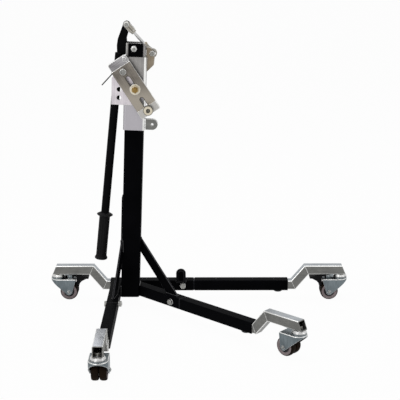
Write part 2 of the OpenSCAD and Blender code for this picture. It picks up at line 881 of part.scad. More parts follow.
module upper_stud() {
    lip = 0.8;
    color(zinc) on_adapter() translate([0, 0, stud_u]) difference() {
        union() {
            pin_y(stud_d / 2, plate_front - stud_l, stud_l);
            pin_y(0.3 * stud_d, plate_front, clip_y + clip_d / 2 + lip - plate_front);
        }
        translate([0, clip_y, 0]) rotate([0, -66, 0]) translate([0, 0, -stud_d])
            cylinder(d = clip_d, h = 2 * stud_d);
    }
}

module spring_clip() {
    reach = 25;
    color(zinc) on_adapter() translate([0, clip_y, stud_u]) rotate([0, -66, 0]) {
        translate([0, 0, -0.4 * stud_d]) cylinder(d = clip_d, h = reach + 0.4 * stud_d);
        translate([0, 0, reach]) sphere(d = clip_d);
        translate([0, 0, reach]) rotate([0, -38, 0]) cylinder(d = clip_d, h = 44);
    }
}

module lower_bar() {
    z0 = -plate_down - 2;
    color(zinc) on_plate(bar_y, lower_bar_t) difference() {
        translate([-plate_w / 2, z0]) square([plate_w, lower_bar_l]);
        translate([0, -pin_u]) circle(d = pin_shank_d);
    }
}

module lower_pin() {
    front = bar_y - lower_bar_t;
    back = plate_y + slip;
    color(zinc) on_adapter() translate([0, 0, -pin_u]) {
        difference() {
            pin_y(pin_d / 2, front - pin_l, pin_l);
            hex_y(pin_shank_d, front - pin_l - 1, 6);
        }
        pin_y(pin_shank_d / 2, front, back - front);
        hex_y(1.625 * pin_shank_d, back, 0.65 * pin_shank_d);
    }
}

// Side outline of a cranked arm, h to each side of its centre line
module arm_profile(h, s0, top_tip, bottom_tip) {
    x1 = arm_bend;
    x2 = arm_bend + crank_run;
    m = crank_mitre * h;
    polygon([
        [s0, leg_z - h], [x1 + m, leg_z - h], [x2 + m, arm_top_z - h],
        [arm_reach + bottom_tip, arm_top_z - h], [arm_reach + top_tip, arm_top_z + h],
        [x2 - m, arm_top_z + h], [x1 - m, leg_z + h], [s0, leg_z + h]
    ]);
}

// Cranked arm of one leg: a bent square tube, open at both ends
module arm(name) {
    color(zinc) leg(name, arm_at(name)) difference() {
        upright(arm_side) arm_profile(arm_h, -arm_in, arm_tip_top, arm_tip_bottom);
        upright(arm_side - 2 * arm_wall)
            arm_profile(arm_h - arm_wall, -arm_in - 1, arm_tip_top + 20, arm_tip_bottom + 20);
        translate([arm_reach, 0, arm_under - 1]) cylinder(d = stem_d, h = arm_wall + 2);
    }
}

// Frame of one caster: the stem is +Z and the wheels trail toward the mast
module caster(name) {
    leg(name, arm_at(name) + arm_reach) children();
}

module stem(name) {
    nut = 0.75 * stem_d;
    seat = arm_under + arm_wall;
    head_z = fork_top - fork_t - slip;
    color(zinc) caster(name) {
        translate([0, 0, head_z]) cylinder(d = stem_d, h = seat + nut - head_z);
        translate([0, 0, head_z - 3]) cylinder(d = 1.8 * stem_d, h = 3);
        difference() {
            translate([0, 0, seat]) cylinder(d = 1.5 * stem_d / cos(30), h = nut, $fn = 6);
            translate([0, 0, seat - 1]) cylinder(d = stem_d, h = nut + 2);
        }
        difference() {
            translate([0, 0, fork_top + boss_h + slip])
                cylinder(d1 = race_d, d2 = race_d - 6, h = arm_under - fork_top - boss_h - slip);
            translate([0, 0, fork_top]) cylinder(d = stem_d, h = far);
        }
    }
}

// Point where a line from p touches a circle, on one of its two sides
function touch(p, centre, r, side) =
    let (d = p - centre, a = atan2(d[1], d[0]) + side * acos(r / norm(d))) centre + r * [cos(a), sin(a)];

// Side outline of a caster fork, in X and Z: both edges run straight to the round end at the axle
module fork_side(tail) {
    axle = [-trail, wheel_r];
    front = [fork_nose + 2, fork_top - 1];
    rear = [-tail, fork_top - fork_skirt];
    translate(axle) circle(fork_end_r);
    polygon([
        [-tail, fork_top + 1], rear, touch(rear, axle, fork_end_r, 1), axle,
        touch(front, axle, fork_end_r, -1), front, [fork_nose + 2, fork_top + 1]
    ]);
}

// Plan outline of a caster fork: half as wide as w, round at the nose
module fork_plan(w, nose, tail) {
    r = (pow(nose, 2) + pow(w, 2)) / (2 * nose);
    translate([-tail, -w]) square([tail, 2 * w]);
    intersection() {
        translate([nose - r, 0]) circle(r);
        translate([0, -far / 2]) square(far);
    }
}

module fork(name, pedal) {
    tail = pedal ? brake_tail : fork_tail;
    ear = 3;
    pocket = 7.7 + slip;
    ear_in = pocket + 0.4;
    color(zinc) caster(name) {
        difference() {
            union() {
                intersection() {
                    difference() {
                        linear_extrude(fork_top) fork_plan(fork_out, fork_nose, tail);
                        translate([0, 0, -1]) linear_extrude(fork_top - fork_t + 1)
                            fork_plan(fork_in, fork_nose - fork_t, tail + 1);
                    }
                    upright(3 * fork_out) fork_side(tail);
                }
                translate([0, 0, fork_top - fork_t / 2]) cylinder(d = race_d + 2, h = boss_h + fork_t / 2);
                if (pedal)
                    for (side = [-1, 1])
                        translate([-pedal_x - 6, side * (ear_in + ear / 2) - ear / 2, fork_top - 1])
                            cube([12, ear, pedal_z - fork_top + 5]);
            }
            cylinder(d = stem_d + 2 * run, h = far);
            if (pedal)
                translate([-pedal_x - 9, -pocket, fork_top - fork_t - 1]) cube([18, 2 * pocket, fork_t + 2]);
        }
        translate([-trail, 0, wheel_r]) {
            pin_y(axle_d / 2, -fork_out - 1, 2 * fork_out + 2);
            pin_y(0.6 * axle_d, -fork_out - 2, 2.5);
            pin_y(0.6 * axle_d, fork_out - 0.5, 2.5);
        }
        if (pedal)
            translate([-pedal_x, 0, pedal_z])
                pin_y(pedal_pin_d / 2, -ear_in - ear - 1, 2 * (ear_in + ear + 1));
    }
}

module hub(name) {
    rim_r = wheel_r - tyre_t;
    boss_r = axle_d / 2 + 4;
    color("#2a2a2c") caster(name) translate([-trail, 0, wheel_r]) difference() {
        union() {
            for (side = [0, 1]) mirror([0, side, 0]) difference() {
                pin_y(rim_r, wheel_gap / 2, wheel_w);
                difference() {
                    pin_y(rim_r - 2.5, wheel_gap / 2 + wheel_w - 3, 4);
                    pin_y(boss_r, wheel_gap / 2 + wheel_w - 4, 6);
                }
            }
            pin_y(boss_r, -wheel_gap, 2 * wheel_gap);
        }
        pin_y(axle_d / 2 + run, -far / 2, far);
    }
}

module tyres(name) {
    rim_r = wheel_r - tyre_t;
    edge = 3;
    color("#7d7375") caster(name) translate([-trail, 0, wheel_r])
        for (side = [0, 1]) mirror([0, side, 0]) translate([0, wheel_gap / 2 + wheel_w, 0])
            rotate([90, 0, 0]) rotate_extrude() polygon([
                [rim_r, 0], [wheel_r - edge, 0], [wheel_r, edge], [wheel_r, wheel_w - edge],
                [wheel_r - edge, wheel_w], [rim_r, wheel_w]
            ]);
}

// Side outline of the brake shoe behind the wheels, seen from the pedal's pin
module brake_shoe() {
    x0 = pedal_x - brake_tail - 2;
    tip = pedal_x - pedal_tip;
    axle = [pedal_x - trail, wheel_r - pedal_z];
    difference() {
        polygon([
            [x0, 2], [x0, axle[1] + 0.3 * wheel_r], axle + [-wheel_r - 0.35 * shoe_t, 0.38 * wheel_r],
            axle + [-wheel_r - 0.8 * shoe_t, 0.8 * wheel_r], axle + [-wheel_r - 1.3 * shoe_t, 0.92 * wheel_r],
            axle + [-wheel_r - 2.6 * shoe_t, 1.16 * wheel_r], [tip + 6, -6], [tip + 10, -4]
        ]);
        translate(axle) circle(wheel_r + shoe_gap);
    }
}

module pedal(name) {
    cam_r = pedal_z - 2 * wheel_r - 1.5;
    color("#1b1b1d") caster(name) translate([-pedal_x, 0, pedal_z]) difference() {
        union() {
            upright(15.4) {
                circle(4.5);
                translate([-4, -cam_r]) square([8, cam_r]);
                polygon([[0, 4.5], [0, -1.5], [-20, -1.2], [-20, 4.2]]);
            }
            upright(pedal_w) {
                polygon([
                    [-17, 4.4], [-17, -0.6], [pedal_x - pedal_tip + 6, -6],
                    [pedal_x - pedal_tip, -6], [pedal_x - pedal_tip, -2.5], [-26, 3.8]
                ]);
                brake_shoe();
            }
        }
        pin_y(pedal_pin_d / 2 + run, -pedal_w, 2 * pedal_w);
    }
}

mast();
mast_strip();
rear_beam();
leg_stubs();
leg_braces();
parking_lug();
leg_tubes();
leg_spigots();
leg_bolts();
clamp_screws();
head_cheeks();
head_pads();
pivot_bolt();
pivot_spacers();
carriage_sleeve();
slide_pads();
lever_guide();
rod_bracket();
rod_bracket_bolt();
carriage_lug();
adapter_boss();
lever_plate();
handle_tube();
handle_grip();
clevis_pin();
rod_clevis();
tie_rod();
rod_nuts();
rod_end();
adapter_bolt();
adapter_washer();
adapter_plate();
upper_bar();
upper_stud();
spring_clip();
lower_bar();
lower_pin();
arm("rear");  // rear_arm
arm("left");  // left_arm
arm("side");  // side_arm
arm("front");  // front_arm
stem("rear");  // rear_stem
stem("left");  // left_stem
stem("side");  // side_stem
stem("front");  // front_stem
fork("rear", true);  // rear_fork
fork("left", true);  // left_fork
fork("side", false);  // side_fork
fork("front", false);  // front_fork
hub("rear");  // rear_hub
hub("left");  // left_hub
hub("side");  // side_hub
hub("front");  // front_hub
tyres("rear");  // rear_tyres
tyres("left");  // left_tyres
tyres("side");  // side_tyres
tyres("front");  // front_tyres
pedal("rear");  // rear_pedal
pedal("left");  // left_pedal
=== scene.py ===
"""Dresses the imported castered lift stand: finishes, rounded edges, welds, threads, grip and casters."""

from __future__ import annotations

import json
import logging
import math
from contextlib import contextmanager
from dataclasses import dataclass
from enum import Enum
from typing import Callable, Iterator, Sequence

import bpy
from mathutils import Matrix, Vector

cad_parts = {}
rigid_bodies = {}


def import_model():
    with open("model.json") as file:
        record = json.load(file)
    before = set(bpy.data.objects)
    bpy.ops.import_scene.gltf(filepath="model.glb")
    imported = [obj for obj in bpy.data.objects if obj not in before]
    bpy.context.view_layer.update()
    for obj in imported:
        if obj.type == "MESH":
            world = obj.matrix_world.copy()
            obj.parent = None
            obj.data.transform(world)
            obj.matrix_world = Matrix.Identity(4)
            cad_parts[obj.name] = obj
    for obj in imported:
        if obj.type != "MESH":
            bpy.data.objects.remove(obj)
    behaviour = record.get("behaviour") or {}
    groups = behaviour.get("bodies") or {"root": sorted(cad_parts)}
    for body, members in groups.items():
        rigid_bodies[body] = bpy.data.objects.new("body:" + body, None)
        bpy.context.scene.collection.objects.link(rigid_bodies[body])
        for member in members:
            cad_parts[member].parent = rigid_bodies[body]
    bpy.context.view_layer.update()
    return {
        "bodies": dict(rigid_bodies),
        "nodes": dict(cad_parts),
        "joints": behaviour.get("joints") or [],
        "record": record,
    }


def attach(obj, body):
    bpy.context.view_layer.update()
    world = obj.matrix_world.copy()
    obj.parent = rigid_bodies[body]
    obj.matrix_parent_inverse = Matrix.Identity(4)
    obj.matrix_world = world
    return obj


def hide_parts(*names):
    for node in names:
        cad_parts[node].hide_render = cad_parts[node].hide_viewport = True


LOG = logging.getLogger("lift_stand")
MM = 0.001
NEAR = 0.1  # Points this close count as the same place, in millimetres.
MERGE_M = 1e-6  # Points this close are merged, in metres.
FLAT_DEG = 0.4  # Triangles that meet below this angle become one flat face.
SHARP_DEG = 35.0  # Edges above this angle are rounded.
ROUND_DEG = 50.0  # Turned pieces are shaded smooth below this angle.
NOISE_ENDS = {"From Min": 0.32, "From Max": 0.68}  # Most of a noise's values lie between these.
ALONG_Y = Matrix.Rotation(math.radians(-90.0), 4, "X")  # Turns Z to Y.
Point = tuple[float, float, float]
Span = tuple[float, float]
Profile = Sequence[Span]
Piece = bpy.types.Object
Face = bpy.types.MeshPolygon
Tree = bpy.types.NodeTree
Socket = bpy.types.NodeSocket
EdgeTest = Callable[[Vector, Vector], bool]
FaceTest = Callable[[Face], bool]


class Leg(Enum):
    """The four castered legs, named as in the CAD nodes."""

    REAR = "rear"
    LEFT = "left"
    SIDE = "side"
    FRONT = "front"


class Element(Enum):
    """What a test picks on a mesh, by Blender's names."""

    FACE = "FACE"
    EDGE = "EDGE"


class Line(Enum):
    """Lines that a section is swept along, by Blender's names."""

    STRAIGHT = "POLY"
    CURVED = "NURBS"


def linear(hex_code: str) -> tuple[float, float, float, float]:
    """Turns an sRGB hex colour into linear RGBA.

    Args:
        hex_code: Colour such as "#1a2b3c".

    Returns:
        Linear red, green, blue and an alpha of 1.
    """
    parts = [int(hex_code[i : i + 2], 16) / 255 for i in (1, 3, 5)]
    red, green, blue = (c / 12.92 if c <= 0.04045 else ((c + 0.055) / 1.055) ** 2.4 for c in parts)
    return red, green, blue, 1.0


def scale(size_mm: float) -> float:
    """Gives a pattern's scale from its real size in millimetres."""
    return 1 / (size_mm * MM)


def add_node(
    tree: Tree, kind: str, inputs: dict | None = None, **settings: object
) -> bpy.types.NodeOutputs:
    """Adds one shader node, sets it and links it.

    Args:
        tree: Node tree that takes the node.
        kind: Type of the node, without the prefix that all shader nodes share.
        inputs: Values or output sockets by input name or index.
        settings: Attributes of the node itself.

    Returns:
        The new node's outputs.
    """
    node = tree.nodes.new(f"ShaderNode{kind}")
    for key, value in settings.items():
        setattr(node, key, value)
    for key, value in (inputs or {}).items():
        if isinstance(value, Socket):
            tree.links.new(value, node.inputs[key])
        else:
            node.inputs[key].default_value = value
    return node.outputs


def blank_tree(owner: bpy.types.Material | bpy.types.World) -> Tree:
    """Gives a new material or world an empty node tree.

    Args:
        owner: The material or world.

    Returns:
        The tree.
    """
    owner.use_nodes = True
    owner.node_tree.nodes.clear()
    return owner.node_tree


@dataclass(frozen=True)
class Finish:
    """A surface: its name, its slot in the record, and its colours.

    Attributes:
        name: Material name in a maker's words.
        slot: Material slot of the record; not used.
        dark: Darker colour, sRGB hex.
        light: Lighter colour, sRGB hex.
        rough: Lowest and highest roughness.
    """

    name: str
    slot: str
    dark: str
    light: str
    rough: Span

    def material(self) -> bpy.types.Material:
        """Gives the material, and builds it on first use.

        Returns:
            The material of this name.
        """
        found = bpy.data.materials.get(self.name)
        if found:
            return found
        made = bpy.data.materials.new(self.name)
        tree = blank_tree(made)
        add_node(tree, "OutputMaterial", {"Surface": self.shade(tree)})
        return made

    def shade(self, tree: Tree) -> Socket:
        """Builds the shader and gives its output; each kind of finish has its own."""
        raise NotImplementedError


@dataclass(frozen=True)
class Moulded(Finish):
    """Moulded rubber or plastic: matt, with a fine grit from the mould and faint scuffs.

    Attributes:
        grit_mm: Size of the grit, drawn coarser than the real tenth of a millimetre so that it shows.
        bump: Strength of the grit, and its depth in metres.
        cloud_mm: Size of the scuffed or duller patches.
        octaves: Fineness of the patches.
        lightest: Most of the lighter colour that a patch takes.
        dust_mm: Size of pale specks, or 0 for none.
        gloss: Specular level of the surface.
    """

    grit_mm: float = 1.2
    bump: Span = (0.15, 0.0003)
    cloud_mm: float = 18.0
    octaves: float = 5.0
    lightest: float = 1.0
    dust_mm: float = 0.0
    gloss: float = 0.25

    def shade(self, tree: Tree) -> Socket:
        """Builds the surface: clouded colour, specks of dust, and a bump.

        Args:
            tree: Node tree that takes the nodes.

        Returns:
            The shader's output.
        """
        place = add_node(tree, "TexCoord")["Object"]
        clouds = {"Vector": place, "Scale": scale(self.cloud_mm), "Detail": self.octaves}
        patches = {"Value": add_node(tree, "TexNoise", clouds)[0], **NOISE_ENDS}
        share = add_node(tree, "MapRange", {**patches, "To Min": 0.0, "To Max": self.lightest})[0]
        dark, light = linear(self.dark), linear(self.light)
        colour = add_node(tree, "Mix", {0: share, 6: dark, 7: light}, data_type="RGBA")[2]
        if self.dust_mm:
            specks = {"Vector": place, "Scale": scale(self.dust_mm), "Detail": 6.0}
            dust = {"Value": add_node(tree, "TexNoise", specks)[0], "From Min": 0.6, "From Max": 0.75}
            share = add_node(tree, "MapRange", {**dust, "To Min": 0.0, "To Max": 0.5})[0]
            colour = add_node(tree, "Mix", {0: share, 6: colour, 7: light}, data_type="RGBA")[2]
        grains = {"Vector": place, "Scale": scale(self.grit_mm), "Detail": 2.0}
        grit = add_node(tree, "TexNoise", grains)[0]
        strength, depth = self.bump
        smoothest, roughest = self.rough
        inputs = {
            "Base Color": colour,
            "Roughness": add_node(tree, "MapRange", {**patches, "To Min": smoothest, "To Max": roughest})[0],
            "Normal": add_node(tree, "Bump", {"Strength": strength, "Distance": depth, "Height": grit})[0],
            "Specular IOR Level": self.gloss,
        }
        return add_node(tree, "BsdfPrincipled", inputs)[0]


@dataclass(frozen=True)
class PowderCoat(Moulded):
    """Black polyester powder coat: deep black, satin, with a fine orange peel and faint dust.

    The peel is drawn coarser than the real half millimetre so that it shows.
    """

    grit_mm: float = 2.2
    bump: Span = (0.10, 0.0004)
    cloud_mm: float = 70.0
    octaves: float = 3.0
    lightest: float = 0.6
    dust_mm: float = 3.0
    gloss: float = 0.012


@dataclass(frozen=True)
class PlatedSteel(Finish):
    """Zinc-plated steel: a grey metal with drawn or brushed grain and clouded passivation.

    Attributes:
        along_mm: Length of the grain's streaks.
        across_mm: Width of the streaks, drawn coarser than the real fifth of a millimetre so that they show.
        turn_deg: Turn of the grain about X, Y and Z; unturned grain runs along Z.
        cloud_mm: Size of the clouds in the passivation.
        contrast: Sums of grain and cloud that take the darkest and the lightest colour.
        fade: Heights in metres between which the colour goes over to fade_to.
        fade_to: Colour at the lower height, sRGB hex.
        bump: Strength of the grain's bump, and its depth in metres.
    """

    along_mm: float = 40.0
    across_mm: float = 2.0
    turn_deg: Point = (0.0, 0.0, 0.0)
    cloud_mm: float = 30.0
    contrast: Span = (0.7, 1.3)
    fade: Span = (0.0, 0.0)
    fade_to: str = ""
    bump: Span = (0.06, 0.0003)

    def shade(self, tree: Tree) -> Socket:
        """Builds the plating: grain and clouds drive the colour, the roughness and a slight bump.

        Args:
            tree: Node tree that takes the nodes.

        Returns:
            The shader's output.
        """
        place = add_node(tree, "TexCoord")["Object"]
        turn = [math.radians(angle) for angle in self.turn_deg]
        rotated = add_node(tree, "Mapping", {"Vector": place, "Rotation": turn})[0]
        across, along = scale(self.across_mm), scale(self.along_mm)
        stretched = add_node(tree, "Mapping", {"Vector": rotated, "Scale": (across, across, along)})[0]
        grain = add_node(tree, "TexNoise", {"Vector": stretched, "Scale": 1.0, "Detail": 3.0})[0]
        clouds = {"Vector": place, "Scale": scale(self.cloud_mm), "Detail": 4.0}
        cloud = add_node(tree, "TexNoise", clouds)[0]
        mixed = add_node(tree, "Math", {0: grain, 1: cloud}, operation="ADD")[0]
        darkest, lightest = self.contrast
        sums = {"Value": mixed, "From Min": darkest, "From Max": lightest}
        share = add_node(tree, "MapRange", {**sums, "To Min": 0.0, "To Max": 1.0})[0]
        ends = {6: linear(self.dark), 7: linear(self.light)}
        colour = add_node(tree, "Mix", {0: share, **ends}, data_type="RGBA")[2]
        if self.fade_to:
            low, high = self.fade
            height = add_node(tree, "SeparateXYZ", {0: place})[2]
            heights = {"Value": height, "From Min": low, "From Max": high}
            share = add_node(tree, "MapRange", {**heights, "To Min": 1.0, "To Max": 0.0})[0]
            ends = {6: colour, 7: linear(self.fade_to)}
            colour = add_node(tree, "Mix", {0: share, **ends}, data_type="RGBA")[2]
        strength, depth = self.bump
        smoothest, roughest = self.rough
        inputs = {
            "Base Color": colour,
            "Roughness": add_node(tree, "MapRange", {**sums, "To Min": smoothest, "To Max": roughest})[0],
            "Normal": add_node(tree, "Bump", {"Strength": strength, "Distance": depth, "Height": grain})[0],
            "Metallic": 1.0,
        }
        return add_node(tree, "BsdfPrincipled", inputs)[0]


@dataclass(frozen=True)
class DrawnTube(PlatedSteel):
    """Zinc-plated square tube with its grain along X."""

    along_mm: float = 60.0
    across_mm: float = 2.4
    turn_deg: Point = (0.0, 90.0, 0.0)


# Powder coat: satin black, with more shine where it is thick on weld beads. It is thinner and glossier on
# edges, whose lighter colour is a painted highlight, and the braces' edges take a lighter coat still, a
# painted highlight too.
COAT = PowderCoat("black_powder_coat", "powder_coat", "#030304", "#0b0b0e", (0.46, 0.6))
COAT_EDGE = PowderCoat("thin_coat_and_painted_highlight_on_edges", "powder_coat", "#0c0c0f", "#1c1c21", (0.32, 0.44), gloss=0.14)
LEVER_COAT = PowderCoat("satin_coat_on_lever", "powder_coat", "#09090a", "#141416", (0.46, 0.6), gloss=0.018)
BRACE_EDGE_HIGHLIGHT = PowderCoat(
    "painted_highlight_on_brace_edges", "powder_coat", "#29292c", "#48484c", (0.30, 0.42), gloss=0.3
)
WELD = PowderCoat("coat_over_weld_beads", "powder_coat", "#0a0a0c", "#2c2c30", (0.16, 0.26), gloss=0.6)
# Zinc plate on tube and sheet: grey, streaked by rolling or brushing. The arm tops' lighter zinc and the pale
# rolled corners are a painted highlight, and the front arm's matt grey sides are painted shade.
# The sleeve goes over from its base colour above 0.62 m to a paler one below 0.56 m: the darker upper part is
# painted shade.
SLEEVE = PlatedSteel(
    "zinc_plated_sleeve", "zinc", "#7b7978", "#959391", (0.30, 0.42), 120.0, 2.6,
    fade=(0.560, 0.620), fade_to="#aaa7ac",
)
GUIDE = PlatedSteel("zinc_plated_guide", "zinc", "#bdb7bc", "#d1cbcf", (0.32, 0.45), 60.0, 2.4)
# The plate goes over from its base colour above 0.612 m to a lighter one below 0.56 m: the darker upper part
# is painted shade.
PLATE = PlatedSteel(
    "brushed_adapter_plate", "zinc", "#544f4a", "#827c74", (0.24, 0.40), 60.0, 2.6,
    turn_deg=(0.0, 32.7, 0.0), cloud_mm=26.0, fade=(0.560, 0.612), fade_to="#9c958a",
)
BAR = PlatedSteel(
    "brushed_adapter_bars", "zinc", "#787677", "#a09ea0", (0.26, 0.42), 30.0, 2.4,
    turn_deg=(0.0, 122.7, 0.0), fade=(0.560, 0.600), fade_to="#b3b1ad",
)
ARM = DrawnTube("zinc_plated_arm_tube", "zinc", "#636361", "#7a7a77", (0.30, 0.44))
FRONT_ARM_TOP_HIGHLIGHT = DrawnTube("front_arm_top_painted_highlight", "zinc", "#b6bac2", "#dadde2", (0.20, 0.32))
ARM_TOP = DrawnTube("zinc_arm_top_painted_highlight", "zinc", "#7f8489", "#a3a8ac", (0.22, 0.34))
ARM_SIDE = Moulded("front_arm_side_painted_shade", "zinc", "#6a6966", "#a09f9b", (0.5, 0.65), cloud_mm=9.0, gloss=0.06)
CORNER = PlatedSteel("painted_highlight_on_rolled_corners", "zinc", "#dadad8", "#f0f0ee", (0.18, 0.28), 40.0, 2.4)
FORK = PlatedSteel("zinc_plated_pressed_fork", "zinc", "#5b6367", "#757e82", (0.30, 0.44), 20.0, 4.0)
# Zinc plate on bolts and forgings: bright, dull, or yellow to cream from its passivation. EDGE on rounded
# edges, folds and bend seams is a painted highlight, and so are BRIGHT, DULL and CREAM where they rim a
# darker piece.
BRIGHT = PlatedSteel("bright_zinc_fasteners", "bright_zinc", "#b4b4b4", "#d6d6d4", (0.20, 0.34), 6.0, 2.0)
DULL = PlatedSteel("dull_zinc_bolts", "bright_zinc", "#6a6a67", "#9c9c98", (0.24, 0.38), 6.0, 2.0)
EDGE = PlatedSteel("painted_highlight_on_zinc_edges", "zinc", "#c2c2c0", "#e2e2e0", (0.22, 0.34), 20.0, 3.0)
YELLOW = PlatedSteel("yellow_zinc_bolt", "yellow_zinc", "#5c4827", "#a08450", (0.22, 0.36), 6.0, 2.0)
CREAM = PlatedSteel("pale_yellow_zinc", "clevis_zinc", "#b5ab95", "#d6cfbd", (0.24, 0.38), 12.0, 2.0)
CLEVIS = PlatedSteel("silver_zinc_clevis", "clevis_zinc", "#6f6b63", "#a5a198", (0.22, 0.36), 12.0, 2.0)
BRACKET = PlatedSteel("warm_zinc_bracket", "clevis_zinc", "#6c6356", "#8d8272", (0.26, 0.40), 20.0, 2.4)
# Dark grey steel with a soft sheen: DARK is painted shade on the plate's back and slot walls, the lower pin's
# rim, side and socket, and the stem inside the arm, and the clevis clip's own colour; WIRE is spring steel.
DARK = PlatedSteel("dark_steel_and_painted_shade", "zinc", "#4a4843", "#6a675f", (0.30, 0.44), 10.0, 2.0)
WIRE = PlatedSteel("spring_steel_wire", "zinc", "#2f2f2e", "#4c4c4a", (0.26, 0.38), 10.0, 1.5)
# Moulded rubber and plastics: matt black, milky nylon, and grey tyre rubber; the near-black tread colour is
# painted shade on the tread, inner walls and shoulders.
GRIP = Moulded("black_rubber_grip", "grip_rubber", "#070708", "#111113", (0.55, 0.72), gloss=0.12)
NYLON = Moulded("natural_nylon_pads", "nylon", "#d9d8d0", "#ecebe4", (0.45, 0.6))
HUB = Moulded("black_hub_plastic", "hub_plastic", "#17171a", "#28282c", (0.42, 0.58))
PEDAL = Moulded("black_pedal_plastic", "pedal_plastic", "#050506", "#0e0e10", (0.42, 0.58), gloss=0.08)
WALL = Moulded("grey_rubber_sidewall", "tread", "#7c7071", "#938788", (0.55, 0.7))
TREAD = Moulded("tread_in_painted_shade", "tread", "#100a05", "#1e140b", (0.6, 0.75), gloss=0.06)


def only(obj: Piece) -> None:
    """Makes one object the only selected and active one.

    Args:
        obj: The object.
    """
    bpy.ops.object.select_all(action="DESELECT")
    obj.select_set(True)
    bpy.context.view_layer.objects.active = obj


@contextmanager
def editing(obj: Piece) -> Iterator[None]:
    """Holds one object in edit mode for a with block.

    Args:
        obj: Mesh object.

    Yields:
        Nothing, once edit mode is on.
    """
    only(obj)
    bpy.ops.object.mode_set(mode="EDIT")
    try:
        yield
    finally:
        bpy.ops.object.mode_set(mode="OBJECT")


def link(name: str, data: bpy.types.ID) -> Piece:
    """Puts new data into the scene as an object at the origin.

    Args:
        name: Name of the object.
        data: Its mesh, curve, light or camera.

    Returns:
        The object.
    """
    obj = bpy.data.objects.new(name, data)
    bpy.context.scene.collection.objects.link(obj)
    return obj


def smooth(obj: Piece, angle_deg: float = 38.0) -> None:
    """Shades smooth below an angle and keeps flat faces flat.

    Args:
        obj: Mesh object.
        angle_deg: Faces that meet below this angle are shaded smooth.
    """
    only(obj)
    bpy.ops.object.shade_smooth_by_angle(angle=math.radians(angle_deg))
    modifier = obj.modifiers.new("flat_faces", "WEIGHTED_NORMAL")
    modifier.keep_sharp = True
    bpy.ops.object.modifier_apply(modifier=modifier.name)


def paint(obj: Piece, *finishes: Finish) -> None:
    """Gives an object its materials, the first one everywhere unless faces say otherwise.

    Args:
        obj: Mesh object.
        finishes: Finish of each material slot.
    """
    obj.data.materials.clear()
    for finish in finishes:
        obj.data.materials.append(finish.material())


def mark(obj: Piece, kind: Element, chosen: Callable[[Face | bpy.types.MeshEdge], bool]) -> None:
    """Selects the faces or the edges that pass a test.

    Args:
        obj: Mesh object.
        kind: Whether faces or edges are picked.
        chosen: Test of one face or edge.
    """
    with editing(obj):
        bpy.ops.mesh.select_mode(type=kind.value)
        bpy.ops.mesh.select_all(action="DESELECT")
    for element in obj.data.polygons if kind is Element.FACE else obj.data.edges:
        element.select = chosen(element)


def assign(obj: Piece, index: int, chosen: FaceTest) -> None:
    """Gives the faces that a test picks another material slot.

    Args:
        obj: Mesh object.
        index: Material slot.
        chosen: Test of one face.
    """
    mark(obj, Element.FACE, chosen)
    with editing(obj):
        obj.active_material_index = index
        bpy.ops.object.material_slot_assign()


def dress(obj: Piece, body: str, replaced: Sequence[str] = ()) -> None:
    """Lets a finished piece ride on its body and stand for its CAD nodes.

    Args:
        obj: The piece.
        body: CAD body that carries it.
        replaced: CAD nodes that it stands for.
    """
    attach(obj, body)
    if replaced:
        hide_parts(*replaced)
    LOG.info("%s rides on %s", obj.name, body)


def copy_node(node: str) -> Piece:
    """Copies a CAD node's mesh with its triangles joined into flat faces.

    Args:
        node: CAD node.

    Returns:
        The copy, ready for its edges to be rounded.
    """
    obj = link(f"{node}_finished", bpy.data.objects[node].data.copy())
    with editing(obj):
        bpy.ops.mesh.select_all(action="SELECT")
        bpy.ops.mesh.remove_doubles(threshold=MERGE_M)
        bpy.ops.mesh.dissolve_limited(angle_limit=math.radians(FLAT_DEG))
    return obj


def coat(obj: Piece, body: str, finish: Finish, replaced: Sequence[str] = ()) -> None:
    """Gives a modelled piece one finish all over and dresses it.

    Args:
        obj: The piece.
        body: CAD body that carries it.
        finish: Its finish.
        replaced: CAD nodes that it stands for.
    """
    paint(obj, finish)
    dress(obj, body, replaced)


def round_edges(obj: Piece, width_mm: float) -> None:
    """Rounds all sharp edges; the new faces take the last material slot.

    Args:
        obj: Mesh object with its materials.
        width_mm: Width of the rounding.
    """
    only(obj)
    bevel = obj.modifiers.new("edges", "BEVEL")
    bevel.width = width_mm * MM
    bevel.segments = 2
    bevel.limit_method = "ANGLE"
    bevel.angle_limit = math.radians(SHARP_DEG)
    bevel.use_clamp_overlap = False
    bevel.material = len(obj.data.materials) - 1
    bpy.ops.object.modifier_apply(modifier=bevel.name)


def bevel_where(obj: Piece, chosen: EdgeTest, width_mm: float, segments: int) -> None:
    """Bevels the edges whose two ends pass a test; the new faces take the last material slot.

    Args:
        obj: Mesh object.
        chosen: Test of an edge's two ends.
        width_mm: Width of the bevel.
        segments: Faces across the bevel.
    """
    points = [v.co.copy() for v in obj.data.vertices]
    mark(obj, Element.EDGE, lambda edge: chosen(*(points[i] for i in edge.vertices)))
    with editing(obj):
        slot = len(obj.data.materials) - 1
        bpy.ops.mesh.bevel(offset=width_mm * MM, segments=segments, affect="EDGES", material=slot)


def inside(obj: Piece, node: str) -> bool:
    """Tells whether a finished copy stays inside its CAD node's box.

    Args:
        obj: The copy.
        node: CAD node.

    Returns:
        True if it does.
    """
    boxes = []
    for mesh in (obj.data, bpy.data.objects[node].data):
        for pick in (min, max):
            boxes.append([pick(v.co[i] for v in mesh.vertices) for i in range(3)])
    low, high, node_low, node_high = boxes
    slack = NEAR * MM
    return all(low[i] > node_low[i] - slack and high[i] < node_high[i] + slack for i in range(3))


